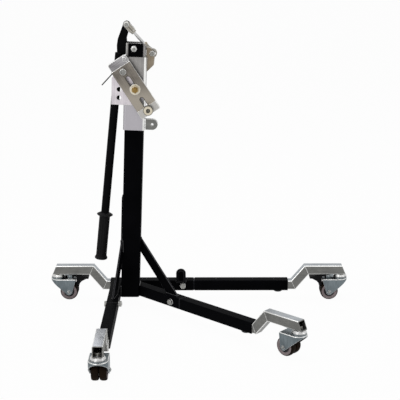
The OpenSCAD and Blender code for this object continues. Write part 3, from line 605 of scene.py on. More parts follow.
def finish_nodes(body: str, *rows: tuple[str, Finish, Finish, float]) -> None:
    """Makes finished copies of CAD nodes of one body, with rounded edges.

    A rounding that throws points out of the node's box is tried again with a smaller width.

    Args:
        body: Body that carries them.
        rows: Each node, the finishes of its faces and edges, and the width of its rounding in millimetres; a
            lighter edge finish is a painted highlight.
    """
    for node, finish, edge, width_mm in rows:
        for share in (1.0, 0.5, 0.25, 0.1):
            obj = copy_node(node)
            paint(obj, finish, edge)
            round_edges(obj, share * width_mm)
            if inside(obj, node):
                break
            LOG.info("%s: a rounding of %.2f mm does not fit", node, share * width_mm)
            bpy.data.objects.remove(obj)
        else:
            obj = copy_node(node)
            paint(obj, finish)
        smooth(obj)
        dress(obj, body, [node])


def finish_tube(node: str, body: str, finish: Finish, edge: Finish, frame: Matrix) -> None:
    """Finishes a square tube whose rolled corners on the right have a finish of their own, on the sleeve a
    painted highlight.

    Args:
        node: CAD node that the copy stands for.
        body: Body that carries it.
        finish: Finish of its faces.
        edge: Finish of its rolled corners on the right, a painted highlight where it is lighter than the
            faces.
        frame: The tube's frame, with Z along the tube.
    """
    obj = copy_node(node)
    paint(obj, finish, edge)
    home = frame.inverted()

    def corner(face: Face) -> bool:
        """Picks the faces of the two outer corners on the right."""
        spot, normal = home @ face.center, home.to_3x3() @ face.normal
        return min(normal.x, abs(normal.y)) > 0.15 and spot.x > 0 and spot.y * normal.y > 0

    assign(obj, 1, corner)
    smooth(obj)
    dress(obj, body, [node])


def turned(model: str, profile: Profile, steps: int) -> bpy.types.Mesh:
    """Models a turned shape on first use: extrudes a point along its profile, and spins that about Z.

    Args:
        model: Name of the shape.
        profile: Radius and height of each corner, in millimetres.
        steps: Faces round the axis.

    Returns:
        The closed, outward-facing mesh, for pieces to copy.
    """
    found = bpy.data.meshes.get(model)
    if found:
        return found
    bpy.ops.object.select_all(action="DESELECT")
    bpy.ops.mesh.primitive_plane_add(size=MM, calc_uvs=False)
    obj = bpy.context.active_object
    corners = [Vector((r, 0.0, h)) * MM for r, h in profile]
    with editing(obj):
        bpy.ops.mesh.select_mode(type="VERT")
        bpy.ops.mesh.select_all(action="SELECT")
        bpy.ops.mesh.merge(type="CENTER")
        bpy.ops.transform.translate(value=corners[0])
        for start, end in zip(corners, corners[1:]):
            bpy.ops.mesh.extrude_vertices_move(TRANSFORM_OT_translate={"value": end - start})
        bpy.ops.mesh.select_all(action="SELECT")
        bpy.ops.mesh.spin(steps=steps, angle=math.tau, center=(0, 0, 0), axis=(0, 0, 1))
        bpy.ops.mesh.select_all(action="SELECT")
        bpy.ops.mesh.remove_doubles(threshold=MERGE_M)
        bpy.ops.mesh.normals_make_consistent(inside=False)
    mesh = obj.data
    mesh.name = model
    bpy.data.objects.remove(obj)
    return mesh


def lathe(name: str, model: str, profile: Profile, place: Matrix, steps: int) -> Piece:
    """Puts a copy of a turned shape in its place.

    Args:
        name: Name of the piece.
        model: Name of the shape, which is modelled only once.
        profile: Radius and height of each corner, in millimetres.
        place: Where the axis goes, in metres.
        steps: Faces round the axis.

    Returns:
        The piece.
    """
    mesh = turned(model, profile, steps).copy()
    mesh.name = name
    mesh.transform(place)
    return link(name, mesh)


def join(name: str, pieces: Sequence[Piece]) -> Piece:
    """Joins pieces into the first one and names it.

    Args:
        name: Name of the whole.
        pieces: What to join.

    Returns:
        The whole.
    """
    only(pieces[0])
    for piece in pieces:
        piece.select_set(True)
    bpy.ops.object.join()
    pieces[0].name = name
    pieces[0].data.name = name
    return pieces[0]


def sweep(
    name: str, kind: Line, points: Sequence[tuple[Vector, float]], radius_mm: float, facets: int, closed: bool
) -> Piece:
    """Sweeps a round section along a line.

    Args:
        name: Name of the piece.
        kind: Kind of line.
        points: Points of the line in metres, each with its share of the radius.
        radius_mm: Radius of the section.
        facets: Fineness of the section.
        closed: Whether the line is a ring.

    Returns:
        The swept piece as a mesh.
    """
    curve = bpy.data.curves.new(name, "CURVE")
    curve.dimensions = "3D"
    curve.bevel_depth = radius_mm * MM
    curve.bevel_resolution = facets
    curve.use_fill_caps = not closed
    line = curve.splines.new(kind.value)
    line.points.add(len(points) - 1)
    if kind is Line.CURVED:
        line.use_endpoint_u = not closed
        line.use_cyclic_u = closed
        line.order_u = 3
        line.resolution_u = 8
    for target, (place, share) in zip(line.points, points):
        target.co = (*place, 1.0)
        target.radius = share
    obj = link(name, curve)
    only(obj)
    bpy.ops.object.convert(target="MESH")
    smooth(obj, 60.0)
    return obj


def bead(points: Sequence[Vector], radius_mm: float, pitch_mm: float) -> Piece:
    """Lays a rippled weld bead along a line, three points to a ripple.

    Args:
        points: Corners of the line, in metres.
        radius_mm: Radius of the bead.
        pitch_mm: Length of one ripple of the weld.

    Returns:
        The bead as a closed mesh.
    """
    spots = []
    for start, end in zip(points, points[1:]):
        count = max(3, round((end - start).length / (pitch_mm * MM / 3)))
        spots += [(start.lerp(end, i / count), (1.0, 0.92, 0.72)[i % 3]) for i in range(count)]
    spots.append((points[-1], 0.6))
    return sweep("bead", Line.STRAIGHT, spots, radius_mm, 2, False)


def wire(name: str, points: Sequence[Vector], diameter_mm: float, closed: bool = False) -> Piece:
    """Bends a round wire through points.

    Args:
        name: Name of the piece.
        points: Bend points, in metres.
        diameter_mm: Diameter of the wire.
        closed: Whether the wire is a ring.

    Returns:
        The wire as a mesh.
    """
    return sweep(name, Line.CURVED, [(point, 1.0) for point in points], diameter_mm / 2, 3, closed)


@dataclass
class Rig:
    """Places of the part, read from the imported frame.

    Attributes:
        joints: Joints of the record by name.
    """

    joints: dict[str, dict]

    def axis(self, joint: str) -> Vector:
        """Gives a joint's axis."""
        return Vector(self.joints[joint]["axis"])

    def place(self, joint: str) -> Vector:
        """Gives a joint's place at rest."""
        return Vector(self.joints[joint]["pos_m"])

    def mast(self) -> Matrix:
        """Gives the leaning frame of the mast."""
        up = self.axis("carriage_slide")
        return Matrix.Rotation(math.atan2(up.x, up.z), 4, "Y")

    def caster(self, leg: Leg) -> Matrix:
        """Gives a caster's frame: X outward along the leg, Z up through the stem, origin on the floor.

        Args:
            leg: Leg that carries the caster.

        Returns:
            The frame, in metres.
        """
        out = self.axis(f"{leg.value}_arm_slide")
        stem = self.place(f"{leg.value}_swivel")
        turn = Matrix.Rotation(math.atan2(out.y, out.x), 4, "Z")
        return Matrix.Translation((stem.x, stem.y, 0.0)) @ turn

    def on(self, frame: Matrix, *points: Point) -> list[Vector]:
        """Takes points in millimetres from a frame of the part to the scene."""
        return [frame @ (Vector(p) * MM) for p in points]


@dataclass
class Studio:
    """Camera at the photograph's viewing angle, pale floor and soft light.

    Attributes:
        eye: Camera's place in metres.
        pitch_deg: Camera's turn about X from straight down.
        yaw_deg: Camera's turn about Z.
        lens_mm: Focal length.
        sensor_mm: Width of the camera's sensor.
        reach_m: How far the camera sees.
        floor_m: Side of the floor.
        floor_tone: Colour of the floor under its white, sRGB hex.
        glow: Share of the floor's own white where it is seen; the rest takes the shadow.
        fill: Strength of the world's plain light.
        middle: Point that the lamps look at.
    """

    eye: Point = (0.1796, -2.517, 0.967)
    pitch_deg: float = 74.84
    yaw_deg: float = -0.17
    lens_mm: float = 90.0
    sensor_mm: float = 36.0
    reach_m: float = 400.0
    floor_m: float = 120.0
    floor_tone: str = "#c8c8c8"
    glow: float = 0.97
    fill: float = 0.44
    middle: Point = (0.15, -0.15, 0.3)

    def camera(self) -> None:
        """Makes the camera."""
        data = bpy.data.cameras.new("photo_camera")
        data.lens = self.lens_mm
        data.sensor_width = self.sensor_mm
        data.clip_end = self.reach_m
        camera = link("photo_camera", data)
        camera.location = self.eye
        camera.rotation_euler = (math.radians(self.pitch_deg), 0.0, math.radians(self.yaw_deg))
        bpy.context.scene.camera = camera

    def seen(self, tree: Tree) -> Socket:
        """Tells which rays show the background: camera, glossy and transmission rays.

        Args:
            tree: Node tree that takes the nodes.

        Returns:
            1 for those rays and 0 for the rest.
        """
        path = add_node(tree, "LightPath")
        found = path["Is Camera Ray"]
        for ray in ("Is Glossy Ray", "Is Transmission Ray"):
            found = add_node(tree, "Math", {0: found, 1: path[ray]}, operation="MAXIMUM")[0]
        return found

    def floor(self) -> None:
        """Makes the floor: white to the eye, with a soft shadow left in it."""
        bpy.ops.mesh.primitive_plane_add(size=self.floor_m)
        floor = bpy.context.active_object
        floor.name = "studio_floor"
        material = bpy.data.materials.new("white_studio_floor")
        tree = blank_tree(material)
        matt = add_node(tree, "BsdfDiffuse", {"Color": linear(self.floor_tone)})[0]
        white = add_node(tree, "Emission", {"Strength": 1.0})[0]
        share = add_node(tree, "Math", {0: self.seen(tree), 1: self.glow}, operation="MULTIPLY")[0]
        mixed = add_node(tree, "MixShader", {0: share, 1: matt, 2: white})[0]
        add_node(tree, "OutputMaterial", {"Surface": mixed})
        floor.data.materials.append(material)

    def world(self) -> None:
        """Makes the world: white where it is seen, and a plain fill for the rest."""
        world = bpy.data.worlds.new("studio_world")
        tree = blank_tree(world)
        ends = {"To Min": self.fill, "To Max": 1.0}
        strength = add_node(tree, "MapRange", {"Value": self.seen(tree), **ends})[0]
        white = add_node(tree, "Background", {"Color": linear("#ffffff"), "Strength": strength})[0]
        add_node(tree, "OutputWorld", {"Surface": white})
        bpy.context.scene.world = world

    def lamp(self, name: str, place: Point, size: Span, watts: float) -> None:
        """Adds one soft box that looks at the middle of the part.

        Args:
            name: Name of the lamp.
            place: Where it stands, in metres.
            size: Its width and height in metres.
            watts: Its power.
        """
        data = bpy.data.lights.new(name, "AREA")
        data.shape = "RECTANGLE"
        data.size, data.size_y = size
        data.energy = watts
        lamp = link(name, data)
        lamp.location = place
        aim = Vector(self.middle) - Vector(place)
        lamp.rotation_euler = aim.to_track_quat("-Z", "Y").to_euler()

    def build(self) -> None:
        """Makes the whole studio."""
        self.camera()
        self.floor()
        self.world()
        self.lamp("top_soft_box", (0.1, 0.4, 2.6), (2.6, 1.8), 38.0)
        self.lamp("front_soft_box", (-1.4, -2.6, 1.5), (1.6, 1.6), 26.0)
        self.lamp("right_soft_box", (2.4, -0.8, 1.2), (1.0, 1.6), 7.0)
        bpy.context.scene.view_settings.view_transform = "Standard"


@dataclass
class Assembly:
    """Pieces that are built and dressed together.

    Attributes:
        rig: Places of the part.
    """

    rig: Rig

    def weld(self, name: str, body: str, finish: Finish, rows: Sequence[tuple]) -> None:
        """Lays weld beads and joins them into one piece.

        Args:
            name: Name of the piece.
            body: CAD body that carries it.
            finish: Its finish.
            rows: Radius, ripple length, frame and corners of each bead, in millimetres.
        """
        pieces = [bead(self.rig.on(frame, *line), radius, pitch) for radius, pitch, frame, *line in rows]
        coat(join(name, pieces), body, finish)

    def build(self) -> None:
        """Builds and dresses the pieces; each sub-assembly has its own."""
        raise NotImplementedError


@dataclass
class Stand(Assembly):
    """Mast, beam, legs and head: black tubes with chamfered joints, welds, bolts and clamp knobs.

    Sizes are in millimetres.

    Attributes:
        body: CAD body of these pieces.
        mast_w: Side of the mast.
        tube_w: Side of the leg tubes.
        tube_z: Floor to the tubes' underside.
        arm_reach: Tube's end to the caster stem.
        side_arm_in: How much further in the side arm stands at rest.
        clamp_back: Tube's end to its clamp screw.
        knob_d: Diameter of the clamp knobs.
        knob_t: Height of the clamp knobs.
        shank_r: Radius of the clamp screws.
        bead_size: Radius and ripple length of the weld beads.
        lug_x: Left and right side of the parking lug.
        lug_bead: Radius and ripple length of the lug's beads.
        stub_y: Where across the mast the bead beside the side stub stands.
        side_deg: Direction of the side brace, seen from above.
        side_off: Distance of the side brace's line from the mast's foot.
        front_x: Where the front brace's line passes the mast's foot.
        front_run: How far the front brace runs to the left and to the front.
        side_foot: Start and end of the beads at the side brace's foot, out from the mast's middle.
        front_foot: Start and end of the beads at the front brace's foot.
        side_top: How far out and how high the side brace's upper beads end.
        front_top: How far out and how high the front brace's upper beads end.
        brace_t: Middle of a brace to the beads on its two sides.
        brace_rise: Height of the beads at a brace's upper end.
        chamfer: Chamfer round the tubes' ends at the bolted joints.
        rim_band: How near the tubes' outer faces their outer end edges lie.
        corner: Rounding of the tubes' long edges.
    """

    body: str = "stand"
    mast_w: float = 48.0
    tube_w: float = 29.0
    tube_z: float = 25.0
    arm_reach: float = 141.0
    side_arm_in: float = 7.0
    clamp_back: float = 26.0
    knob_d: float = 24.0
    knob_t: float = 5.0
    shank_r: float = 4.0
    bead_size: Span = (1.9, 4.5)
    lug_x: Span = (122.6, 149.4)
    lug_bead: Span = (1.3, 3.0)
    stub_y: float = -14.4
    side_deg: float = -42.6
    side_off: float = 19.5
    front_x: float = -12.0
    front_run: Span = (25.0, 116.0)
    side_foot: Span = (120.0, 159.0)
    front_foot: Span = (85.0, 117.0)
    side_top: Span = (24.4, 185.0)
    front_top: Span = (24.6, 183.0)
    brace_t: float = 2.6
    brace_rise: float = 32.0
    chamfer: float = 1.9
    rim_band: float = 1.1
    corner: float = 0.8

    def tubes(self) -> None:
        """Finishes the black tubes and plates."""
        finish_nodes(
            self.body,
            ("mast_strip", COAT, COAT_EDGE, 0.8),
            ("parking_lug", COAT, COAT_EDGE, 1.4),
            ("head_pads", COAT, COAT_EDGE, 0.8),
            # The braces' rounded edges take a lighter coat: a painted highlight.
            ("leg_braces", COAT, BRACE_EDGE_HIGHLIGHT, 1.0),
        )
        self.jointed("rear_beam", max, Leg.REAR)
        self.jointed("leg_stubs", max, Leg.SIDE, Leg.FRONT)
        self.jointed("leg_tubes", min, Leg.REAR, Leg.SIDE, Leg.FRONT)
        finish_tube("mast", self.body, COAT, COAT, self.rig.mast())

    def jointed(self, node: str, end: Callable[[list[float]], float], *legs: Leg) -> None:
        """Finishes square tubes with a chamfer round their ends at the bolted joints.

        Args:
            node: CAD node of the tubes.
            end: Tells which end of a tube is at the joint, min or max along the leg.
            legs: Legs on whose centre lines the tubes lie.
        """
        obj = copy_node(node)
        paint(obj, COAT, COAT_EDGE)
        half, middle = self.tube_w / 2, self.tube_z + self.tube_w / 2

        def off_centre(spot: Vector) -> float:
            """Gives a point's distance from the centre line, across or up."""
            return max(abs(spot.y), abs(spot.z - middle))

        joints = []
        for leg in legs:
            home = self.rig.caster(leg).inverted()
            spots = [home @ v.co / MM for v in obj.data.vertices]
            joints.append((home, end([spot.x for spot in spots if off_centre(spot) < half + NEAR])))

        def on_a_tube(test: Callable[[list[Vector], float], bool]) -> EdgeTest:
            """Makes a test of an edge in the part from a test of its ends along one tube."""
            return lambda *ends: any(test([home @ e / MM for e in ends], plane) for home, plane in joints)

        def rim(ends: list[Vector], plane: float) -> bool:
            """Picks the outer edges of the ends at the joints."""
            at_end = all(abs(e.x - plane) < NEAR / 2 for e in ends)
            return at_end and all(half - self.rim_band < off_centre(e) < half + NEAR for e in ends)

        def corner(ends: list[Vector], _: float) -> bool:
            """Picks the tubes' long outer edges."""
            long = abs(ends[0].x - ends[1].x) > self.tube_w / 4
            return long and all(abs(abs(d) - half) < NEAR for e in ends for d in (e.y, e.z - middle))

        bevel_where(obj, on_a_tube(rim), self.chamfer, 1)
        bevel_where(obj, on_a_tube(corner), self.corner, 2)
        smooth(obj)
        dress(obj, self.body, [node])

    def head(self) -> None:
        """Finishes the steel cheeks, the pivot and the bolts."""
        # Where a lighter finish rims a piece's rounded edges, it is a painted highlight.
        finish_nodes(
            self.body,
            ("head_cheeks", SLEEVE, EDGE, 0.6),
            ("pivot_bolt", DULL, BRIGHT, 0.9),
            ("pivot_spacers", BRIGHT, BRIGHT, 0.4),
            ("leg_bolts", DULL, BRIGHT, 0.8),
            ("leg_spigots", BRIGHT, BRIGHT, 0.4),
        )

    def knobs(self) -> None:
        """Models the low plastic knobs under the tubes that clamp the arms."""
        r, t, shank = self.knob_d / 2, self.knob_t, self.shank_r
        profile = [
            (0, -0.6), (r - 5, -0.4), (r - 2, 0.2), (r - 0.5, 1.6), (r, 3.0),
            (r - 0.4, t - 0.6), (r - 1.2, t), (shank, t), (shank, t + 3.0), (0, t + 3.0),
        ]
        pieces = []
        for leg in Leg:
            shift = self.side_arm_in if leg is Leg.SIDE else 0.0
            back = (shift - self.arm_reach - self.clamp_back) * MM
            place = self.rig.caster(leg) @ Matrix.Translation((back, 0, (self.tube_z - t) * MM))
            pieces.append(lathe(f"{leg.value}_clamp_knob", "knob_model", profile, place, 40))
        knobs = join("clamp_knobs", pieces)
        smooth(knobs)
        coat(knobs, self.body, HUB, ["clamp_screws"])

    def welds(self) -> None:
        """Lays the painted weld beads of the base and its braces."""
        half, low, top = self.mast_w / 2, self.tube_z + 1, self.tube_z + self.tube_w
        world, mast = Matrix.Identity(4), self.rig.mast()
        lines = [
            (mast, (half + 0.3, self.stub_y, low), (half + 0.3, self.stub_y, top - 1)),
            (mast, (half + 0.4, self.stub_y + 0.4, top), (half + 0.4, half - 1, top)),
            (mast, (-half - 0.2, -half + 3.5, low), (-half - 0.2, -half + 3.5, top)),
            (world, (-half + 4, half + 0.2, top), (half + 1, half + 0.2, top)),
            (world, (-half + 4, half + 0.2, self.tube_z), (half + 1, half + 0.2, self.tube_z)),
        ]
        rows = [(*self.bead_size, *line) for line in lines]
        for x in self.lug_x:
            rows.append((*self.lug_bead, world, (x, half - 0.3, top - 4.5), (x, half - 0.3, top - 0.5)))
        side = Matrix.Rotation(math.radians(self.side_deg), 4, "Z")
        side = side @ Matrix.Translation((0.0, self.side_off * MM, 0.0))
        front = Matrix.Translation((self.front_x * MM, 0.0, 0.0))
        front = front @ Matrix.Rotation(math.radians(-90) - math.atan2(*self.front_run), 4, "Z")
        edges = (-self.brace_t, self.brace_t)
        for frame, (start, end) in ((side, self.side_foot), (front, self.front_foot)):
            rows += [(*self.bead_size, frame, (start, y, top), (end, y, top)) for y in edges]
        for frame, (near, high) in ((side, self.side_top), (front, self.front_top)):
            foot = high - self.brace_rise
            rows += [(*self.bead_size, frame, (near - 1, y, foot), (near, y, high)) for y in edges]
        self.weld("stand_welds", self.body, WELD, rows)

    def build(self) -> None:
        """Builds and dresses the whole stand."""
        self.tubes()
        self.head()
        self.knobs()
        self.welds()


@dataclass
class Carriage(Assembly):
    """Zinc-plated sleeve on the mast with its guide, bracket, lug, boss and welds.

    Sizes are in millimetres, heights along the mast.

    Attributes:
        body: CAD body of these pieces.
        half: Half the sleeve's side.
        lug_z: Lowest and highest point of the lug's weld.
        guide_z: Heights of the welds along the guide's lower and upper edges.
        bracket_z: Lowest and highest point of the bracket's welds.
        bracket_y: Middle of the sleeve to the bracket's welds.
        boss_r: Radius of the adapter boss.
        lug_beads: Radius and ripple length of each of the lug's beads, how far out it lies and where across.
        guide_bead: Radius and ripple length of the guide's beads.
        bead_size: Radius and ripple length of the bracket's and the boss's beads.
    """

    body: str = "carriage"
    half: float = 27.25
    lug_z: Span = (478.0, 505.0)
    guide_z: Span = (539.6, 622.4)
    bracket_z: Span = (623.0, 659.0)
    bracket_y: float = 12.3
    boss_r: float = 12.0
    lug_beads: tuple[tuple[Span, float, float], ...] = (((3.0, 7.5), 1.0, -23.6), ((2.0, 5.0), 0.6, -12.9))
    guide_bead: Span = (1.2, 4.0)
    bead_size: Span = (1.4, 4.5)

    def plates(self) -> None:
        """Finishes the sleeve and what is welded and bolted to it."""
        # The sleeve's rolled corners on the right take CORNER: a painted highlight.
        finish_tube("carriage_sleeve", self.body, SLEEVE, CORNER, self.rig.mast())
        # Where a lighter finish rims a piece's rounded edges, it is a painted highlight.
        finish_nodes(
            self.body,
            ("lever_guide", GUIDE, EDGE, 0.5),
            ("rod_bracket", BRACKET, EDGE, 0.5),
            ("rod_bracket_bolt", DULL, BRIGHT, 0.9),
            ("carriage_lug", ARM, EDGE, 0.7),
            ("adapter_boss", BAR, EDGE, 0.6),
            ("slide_pads", NYLON, NYLON, 0.4),
        )

    def welds(self) -> None:
        """Lays the bright weld beads, the lug's thickest, and one round the boss."""
        mast, half = self.rig.mast(), self.half
        low, high = self.lug_z
        rows = [
            (*size, mast, (half + out, y, low), (half + out, y, high)) for size, out, y in self.lug_beads
        ]
        for side in (-1, 1):
            y = side * (half + 0.2)
            rows += [(*self.guide_bead, mast, (-half + 2.5, y, z), (-4.0, y, z)) for z in self.guide_z]
            across = side * self.bracket_y
            rows.append((*self.bead_size, mast, *((half + 0.3, across, z) for z in self.bracket_z)))
        hub, r = mast.inverted() @ self.rig.place("adapter_tilt") / MM, self.boss_r
        turns = [math.tau * i / 24 for i in range(25)]
        ring = [(hub.x + r * math.cos(a), -half - 0.3, hub.z + r * math.sin(a)) for a in turns]
        rows.append((*self.bead_size, mast, *ring))
        self.weld("carriage_welds", self.body, BRIGHT, rows)

    def build(self) -> None:
        """Builds and dresses the carriage."""
        self.plates()
        self.welds()


@dataclass
class Lever(Assembly):
    """Black lever plate, handle tube and fluted rubber grip.

    Sizes are in millimetres, heights along the handle from the pivot.

    Attributes:
        body: CAD body of these pieces.
        handle_x: Handle's centre line, left of the pivot.
        handle_tilt_deg: Tilt of the handle against the mast.
        grip_low: Height of the grip's lower end.
        grip_high: Height of the grip's upper end.
        grip_r: Radius of the grip's body.
        flange_r: Radius of the grip's flange.
        tube_r: Radius of the grip's bore for the handle.
        flutes: Grooves round the grip.
        flute_depth: Depth of the grooves.
        flute_edge: Width of the slope round a groove.
    """

    body: str = "lever"
    handle_x: float = 37.0
    handle_tilt_deg: float = 4.0
    grip_low: float = -560.5
    grip_high: float = -432.5
    grip_r: float = 13.9
    flange_r: float = 20.9
    tube_r: float = 10.52
    flutes: int = 14
    flute_depth: float = 0.9
    flute_edge: float = 0.5

    def handle_frame(self) -> Matrix:
        """Gives the handle's frame: it hangs along -Z from the pivot's height.

        Returns:
            The frame, in metres.
        """
        pivot = Matrix.Translation(self.rig.place("lever_swing")) @ self.rig.mast()
        tilt = Matrix.Rotation(math.radians(self.handle_tilt_deg), 4, "Y")
        return pivot @ Matrix.Translation((-self.handle_x * MM, 0.0, 0.0)) @ tilt

    def grip(self) -> None:
        """Models the grip: an end bead, a fluted body and a sharp-edged flange."""
        r, low, high, tube = self.grip_r, self.grip_low, self.grip_high, self.tube_r
        body_low, body_high = low + 12, high - 12
        profile = [
            (0, low), (r - 1, low), (r + 1.4, low + 0.7), (r + 2.7, low + 2.4), (r + 2.8, low + 4.6),
            (r + 1.8, low + 6.8), (r + 0.3, low + 8.2), (r, body_low), (r, body_high), (r + 0.2, high - 10.6),
            (self.flange_r - 1.2, high - 6.9), (self.flange_r, high - 5.8), (self.flange_r - 0.6, high - 4.6),
            (r, high - 0.8), (tube + 1.2, high), (tube, high), (tube, low + 4), (0, low + 4),
        ]
        steps = self.flutes * 4
        obj = lathe("fluted_grip", "grip_model", profile, Matrix.Identity(4), steps)
        middle = (body_low + body_high) / 2 * MM

        def groove(face: Face) -> bool:
            """Picks the body's long outer faces, two of every four.

            Args:
                face: One face of the grip.

            Returns:
                True if it is part of a groove.
            """
            turn = math.atan2(face.center.y, face.center.x) % math.tau
            column = int(turn / math.tau * steps)
            outer = face.center.xy.length > (r - 1.5) * MM
            return outer and abs(face.center.z - middle) < 1 * MM and column % 4 < 2

        mark(obj, Element.FACE, groove)
        with editing(obj):
            bpy.ops.mesh.inset(thickness=self.flute_edge * MM)
            bpy.ops.transform.shrink_fatten(value=-self.flute_depth * MM)
        obj.data.transform(self.handle_frame())
        smooth(obj)
        coat(obj, self.body, GRIP, ["handle_grip"])

    def build(self) -> None:
        """Builds and dresses the lever."""
        # Where a lighter finish rims a piece's rounded edges, it is a painted highlight.
        finish_nodes(
            self.body,
            ("lever_plate", LEVER_COAT, COAT_EDGE, 0.8),
            ("handle_tube", LEVER_COAT, COAT_EDGE, 0.6),
            ("clevis_pin", DULL, EDGE, 1.0),
        )
        self.grip()


@dataclass
class TieRod(Assembly):
    """Threaded rod with its clevis, nuts and eye.

    Sizes are in millimetres along the rod from the clevis pin.

    Attributes:
        body: CAD body of these pieces.
        foot: Lower rod pivot in the mast's frame.
        start: Where the rod leaves the clevis.
        end_back: Lower pivot to the rod's end.
        radius: Radius over the thread.
        pitch: Pitch of the thread, drawn a little coarser than the real one so that it shows.
        ridge: Depth of the thread, drawn shallow so that the rod stays smooth from far off.
        clip_run: Clevis pin to the two ends of the wire clip on the clevis.
        clip_d: Diameter of the clip's wire.
    """

    body: str = "link"
    foot: Point = (41.0, 0.0, 669.5)
    start: float = 22.0
    end_back: float = 17.6
    radius: float = 4.0
    pitch: float = 1.6
    ridge: float = 0.18
    clip_run: Span = (7.0, 23.0)
    clip_d: float = 2.2

    def run(self) -> tuple[Vector, Vector]:
        """Gives the clevis pin's place, and the way from it to the lower pivot."""
        tip = self.rig.place("link_hinge")
        return tip, self.rig.on(self.rig.mast(), self.foot)[0] - tip

    def thread(self) -> None:
        """Models the rod with the ridges of its thread."""
        tip, run = self.run()
        end = run.length / MM - self.end_back
        root = self.radius - self.ridge
        profile = [(0.0, self.start), (root, self.start)]
        for i in range(int((end - self.start) / self.pitch)):
            height = self.start + i * self.pitch
            profile += [(self.radius, height + self.pitch / 2), (root, height + self.pitch)]
        profile += [(root, end), (0.0, end)]
        turn = run.to_track_quat("Z", "Y").to_matrix().to_4x4()
        rod = lathe("threaded_rod", "rod_model", profile, Matrix.Translation(tip) @ turn, 32)
        smooth(rod, 30.0)
        coat(rod, self.body, BRIGHT, ["tie_rod"])

    def clip(self) -> None:
        """Models the wire clip that lies along the clevis and keeps its pin in."""
        tip, run = self.run()
        front = min(v.co.y for v in bpy.data.objects["rod_clevis"].data.vertices)
        start = tip + Vector((0.0, front - tip.y, 0.0))
        ends = [start + run.normalized() * along * MM for along in self.clip_run]
        coat(wire("clevis_clip", ends, self.clip_d), self.body, DARK)

    def build(self) -> None:
        """Builds and dresses the tie rod."""
        # Where a lighter finish rims a piece's rounded edges, it is a painted highlight.
        finish_nodes(
            self.body,
            ("rod_clevis", CLEVIS, EDGE, 1.2),
            ("rod_nuts", BRACKET, CREAM, 0.6),
            ("rod_end", CLEVIS, EDGE, 0.7),
        )
        self.thread()
        self.clip()


@dataclass
class Adapter(Assembly):
    """Slotted plate with its bars, pins, clamp bolt, wire clip and wire ring.

    Sizes are in millimetres.

    Attributes:
        plate_deg: Tilt of the plate.
        plate_edge: Width of the plate's rounded edges, which take a painted highlight.
        slot_margin: Width of the plate's border, which holds no slot.
        pin_edge: Width of the lower pin's rounded edges.
        ring_r: Middle of the wire ring to its corners.
        ring_d: Diameter of the ring's wire.
        ring_shift: How far the ring hangs right of and below the bolt's middle.
        ring_turn: Half the turn between the two bends of a corner of the ring, in degrees.
    """

    plate_deg: float = 32.7
    plate_edge: float = 1.8
    slot_margin: float = 4.0
    pin_edge: float = 1.3
    ring_r: float = 8.5
    ring_d: float = 1.8
    ring_shift: Span = (3.0, -1.5)
    ring_turn: float = 14.0

    def build(self) -> None:
        """Finishes the adapter's pieces."""
        self.plate()
        # Where a lighter finish rims a piece's rounded edges, it is a painted highlight.
        finish_nodes(
            "adapter",
            ("upper_bar", BAR, EDGE, 1.2),
            ("upper_stud", DULL, EDGE, 1.6),
            ("spring_clip", WIRE, WIRE, 0.3),
        )
        finish_nodes(
            "adapter_clamp", ("adapter_bolt", YELLOW, CREAM, 0.9), ("adapter_washer", CREAM, EDGE, 0.5)
        )
        finish_nodes("pin_carrier", ("lower_bar", BAR, EDGE, 1.2))
        self.lower_pin()
        self.wire_ring()

    def plate(self) -> None:
        """Finishes the slotted plate: brushed front, rounded edges in a painted highlight, back and slot
        walls in painted shade.
        """
        obj = copy_node("adapter_plate")
        paint(obj, PLATE, DARK, EDGE)
        round_edges(obj, self.plate_edge)
        tilt = Matrix.Rotation(math.radians(-self.plate_deg), 4, "Y")
        home = (Matrix.Translation(self.rig.place("adapter_tilt")) @ tilt).inverted()
        spots = [home @ v.co / MM for v in obj.data.vertices]
        low, high = (
            [pick(spot[i] for spot in spots) + side * self.slot_margin for i in (0, 2)]
            for pick, side in ((min, 1), (max, -1))
        )

        def dull(face: Face) -> bool:
            """Picks the plate's back and the walls and rims of its slots, for painted shade.

            Args:
                face: One face of the plate.

            Returns:
                True if it is one of these.
            """
            spot = home @ face.center / MM
            within = low[0] < spot.x < high[0] and low[1] < spot.z < high[1]
            return face.normal.y > 0.5 or within and face.normal.y > -0.95

        def shaded(face: Face) -> bool:
            """Picks the plate's left edge, which faces away from the light."""
            return (home @ face.center / MM).x < low[0] - self.slot_margin / 2 and face.normal.y < 0.5

        # The back and the slot walls take DARK: painted shade.
        assign(obj, 1, dull)
        assign(obj, 0, shaded)
        smooth(obj)
        dress(obj, "adapter", ["adapter_plate"])

    def lower_pin(self) -> None:
        """Finishes the lower pin: pale face, with painted shade on its rim, side and hexagon socket."""
        obj = copy_node("lower_pin")
        paint(obj, CREAM, DARK)
        front = min(v.co.y for v in obj.data.vertices)
        # The side, the socket and, after rounding, the rim take DARK: painted shade.
        assign(obj, 1, lambda face: face.center.y > front + 0.5 * MM)
        round_edges(obj, self.pin_edge)
        smooth(obj)
        dress(obj, "pin_carrier", ["lower_pin"])

    def wire_ring(self) -> None:
        """Models the small three-cornered wire ring on the upper bar's bolt."""
        points = [v.co for v in bpy.data.objects["upper_bar"].data.vertices]
        front = min(point.y for point in points)
        head = [point for point in points if point.y < front + NEAR * MM]
        across, down = self.ring_shift
        hub = sum(head, Vector()) / len(head) + Vector((across, self.ring_d, down)) * MM
        corners = []
        for degrees in (100.0, 220.0, 340.0):
            for turn in (-self.ring_turn, self.ring_turn):
                angle = math.radians(degrees + turn)
                way = Vector((math.cos(angle), 0.0, math.sin(angle)))
                corners.append(hub + way * self.ring_r * MM)
        coat(wire("wire_ring", corners, self.ring_d, closed=True), "adapter", BRIGHT)


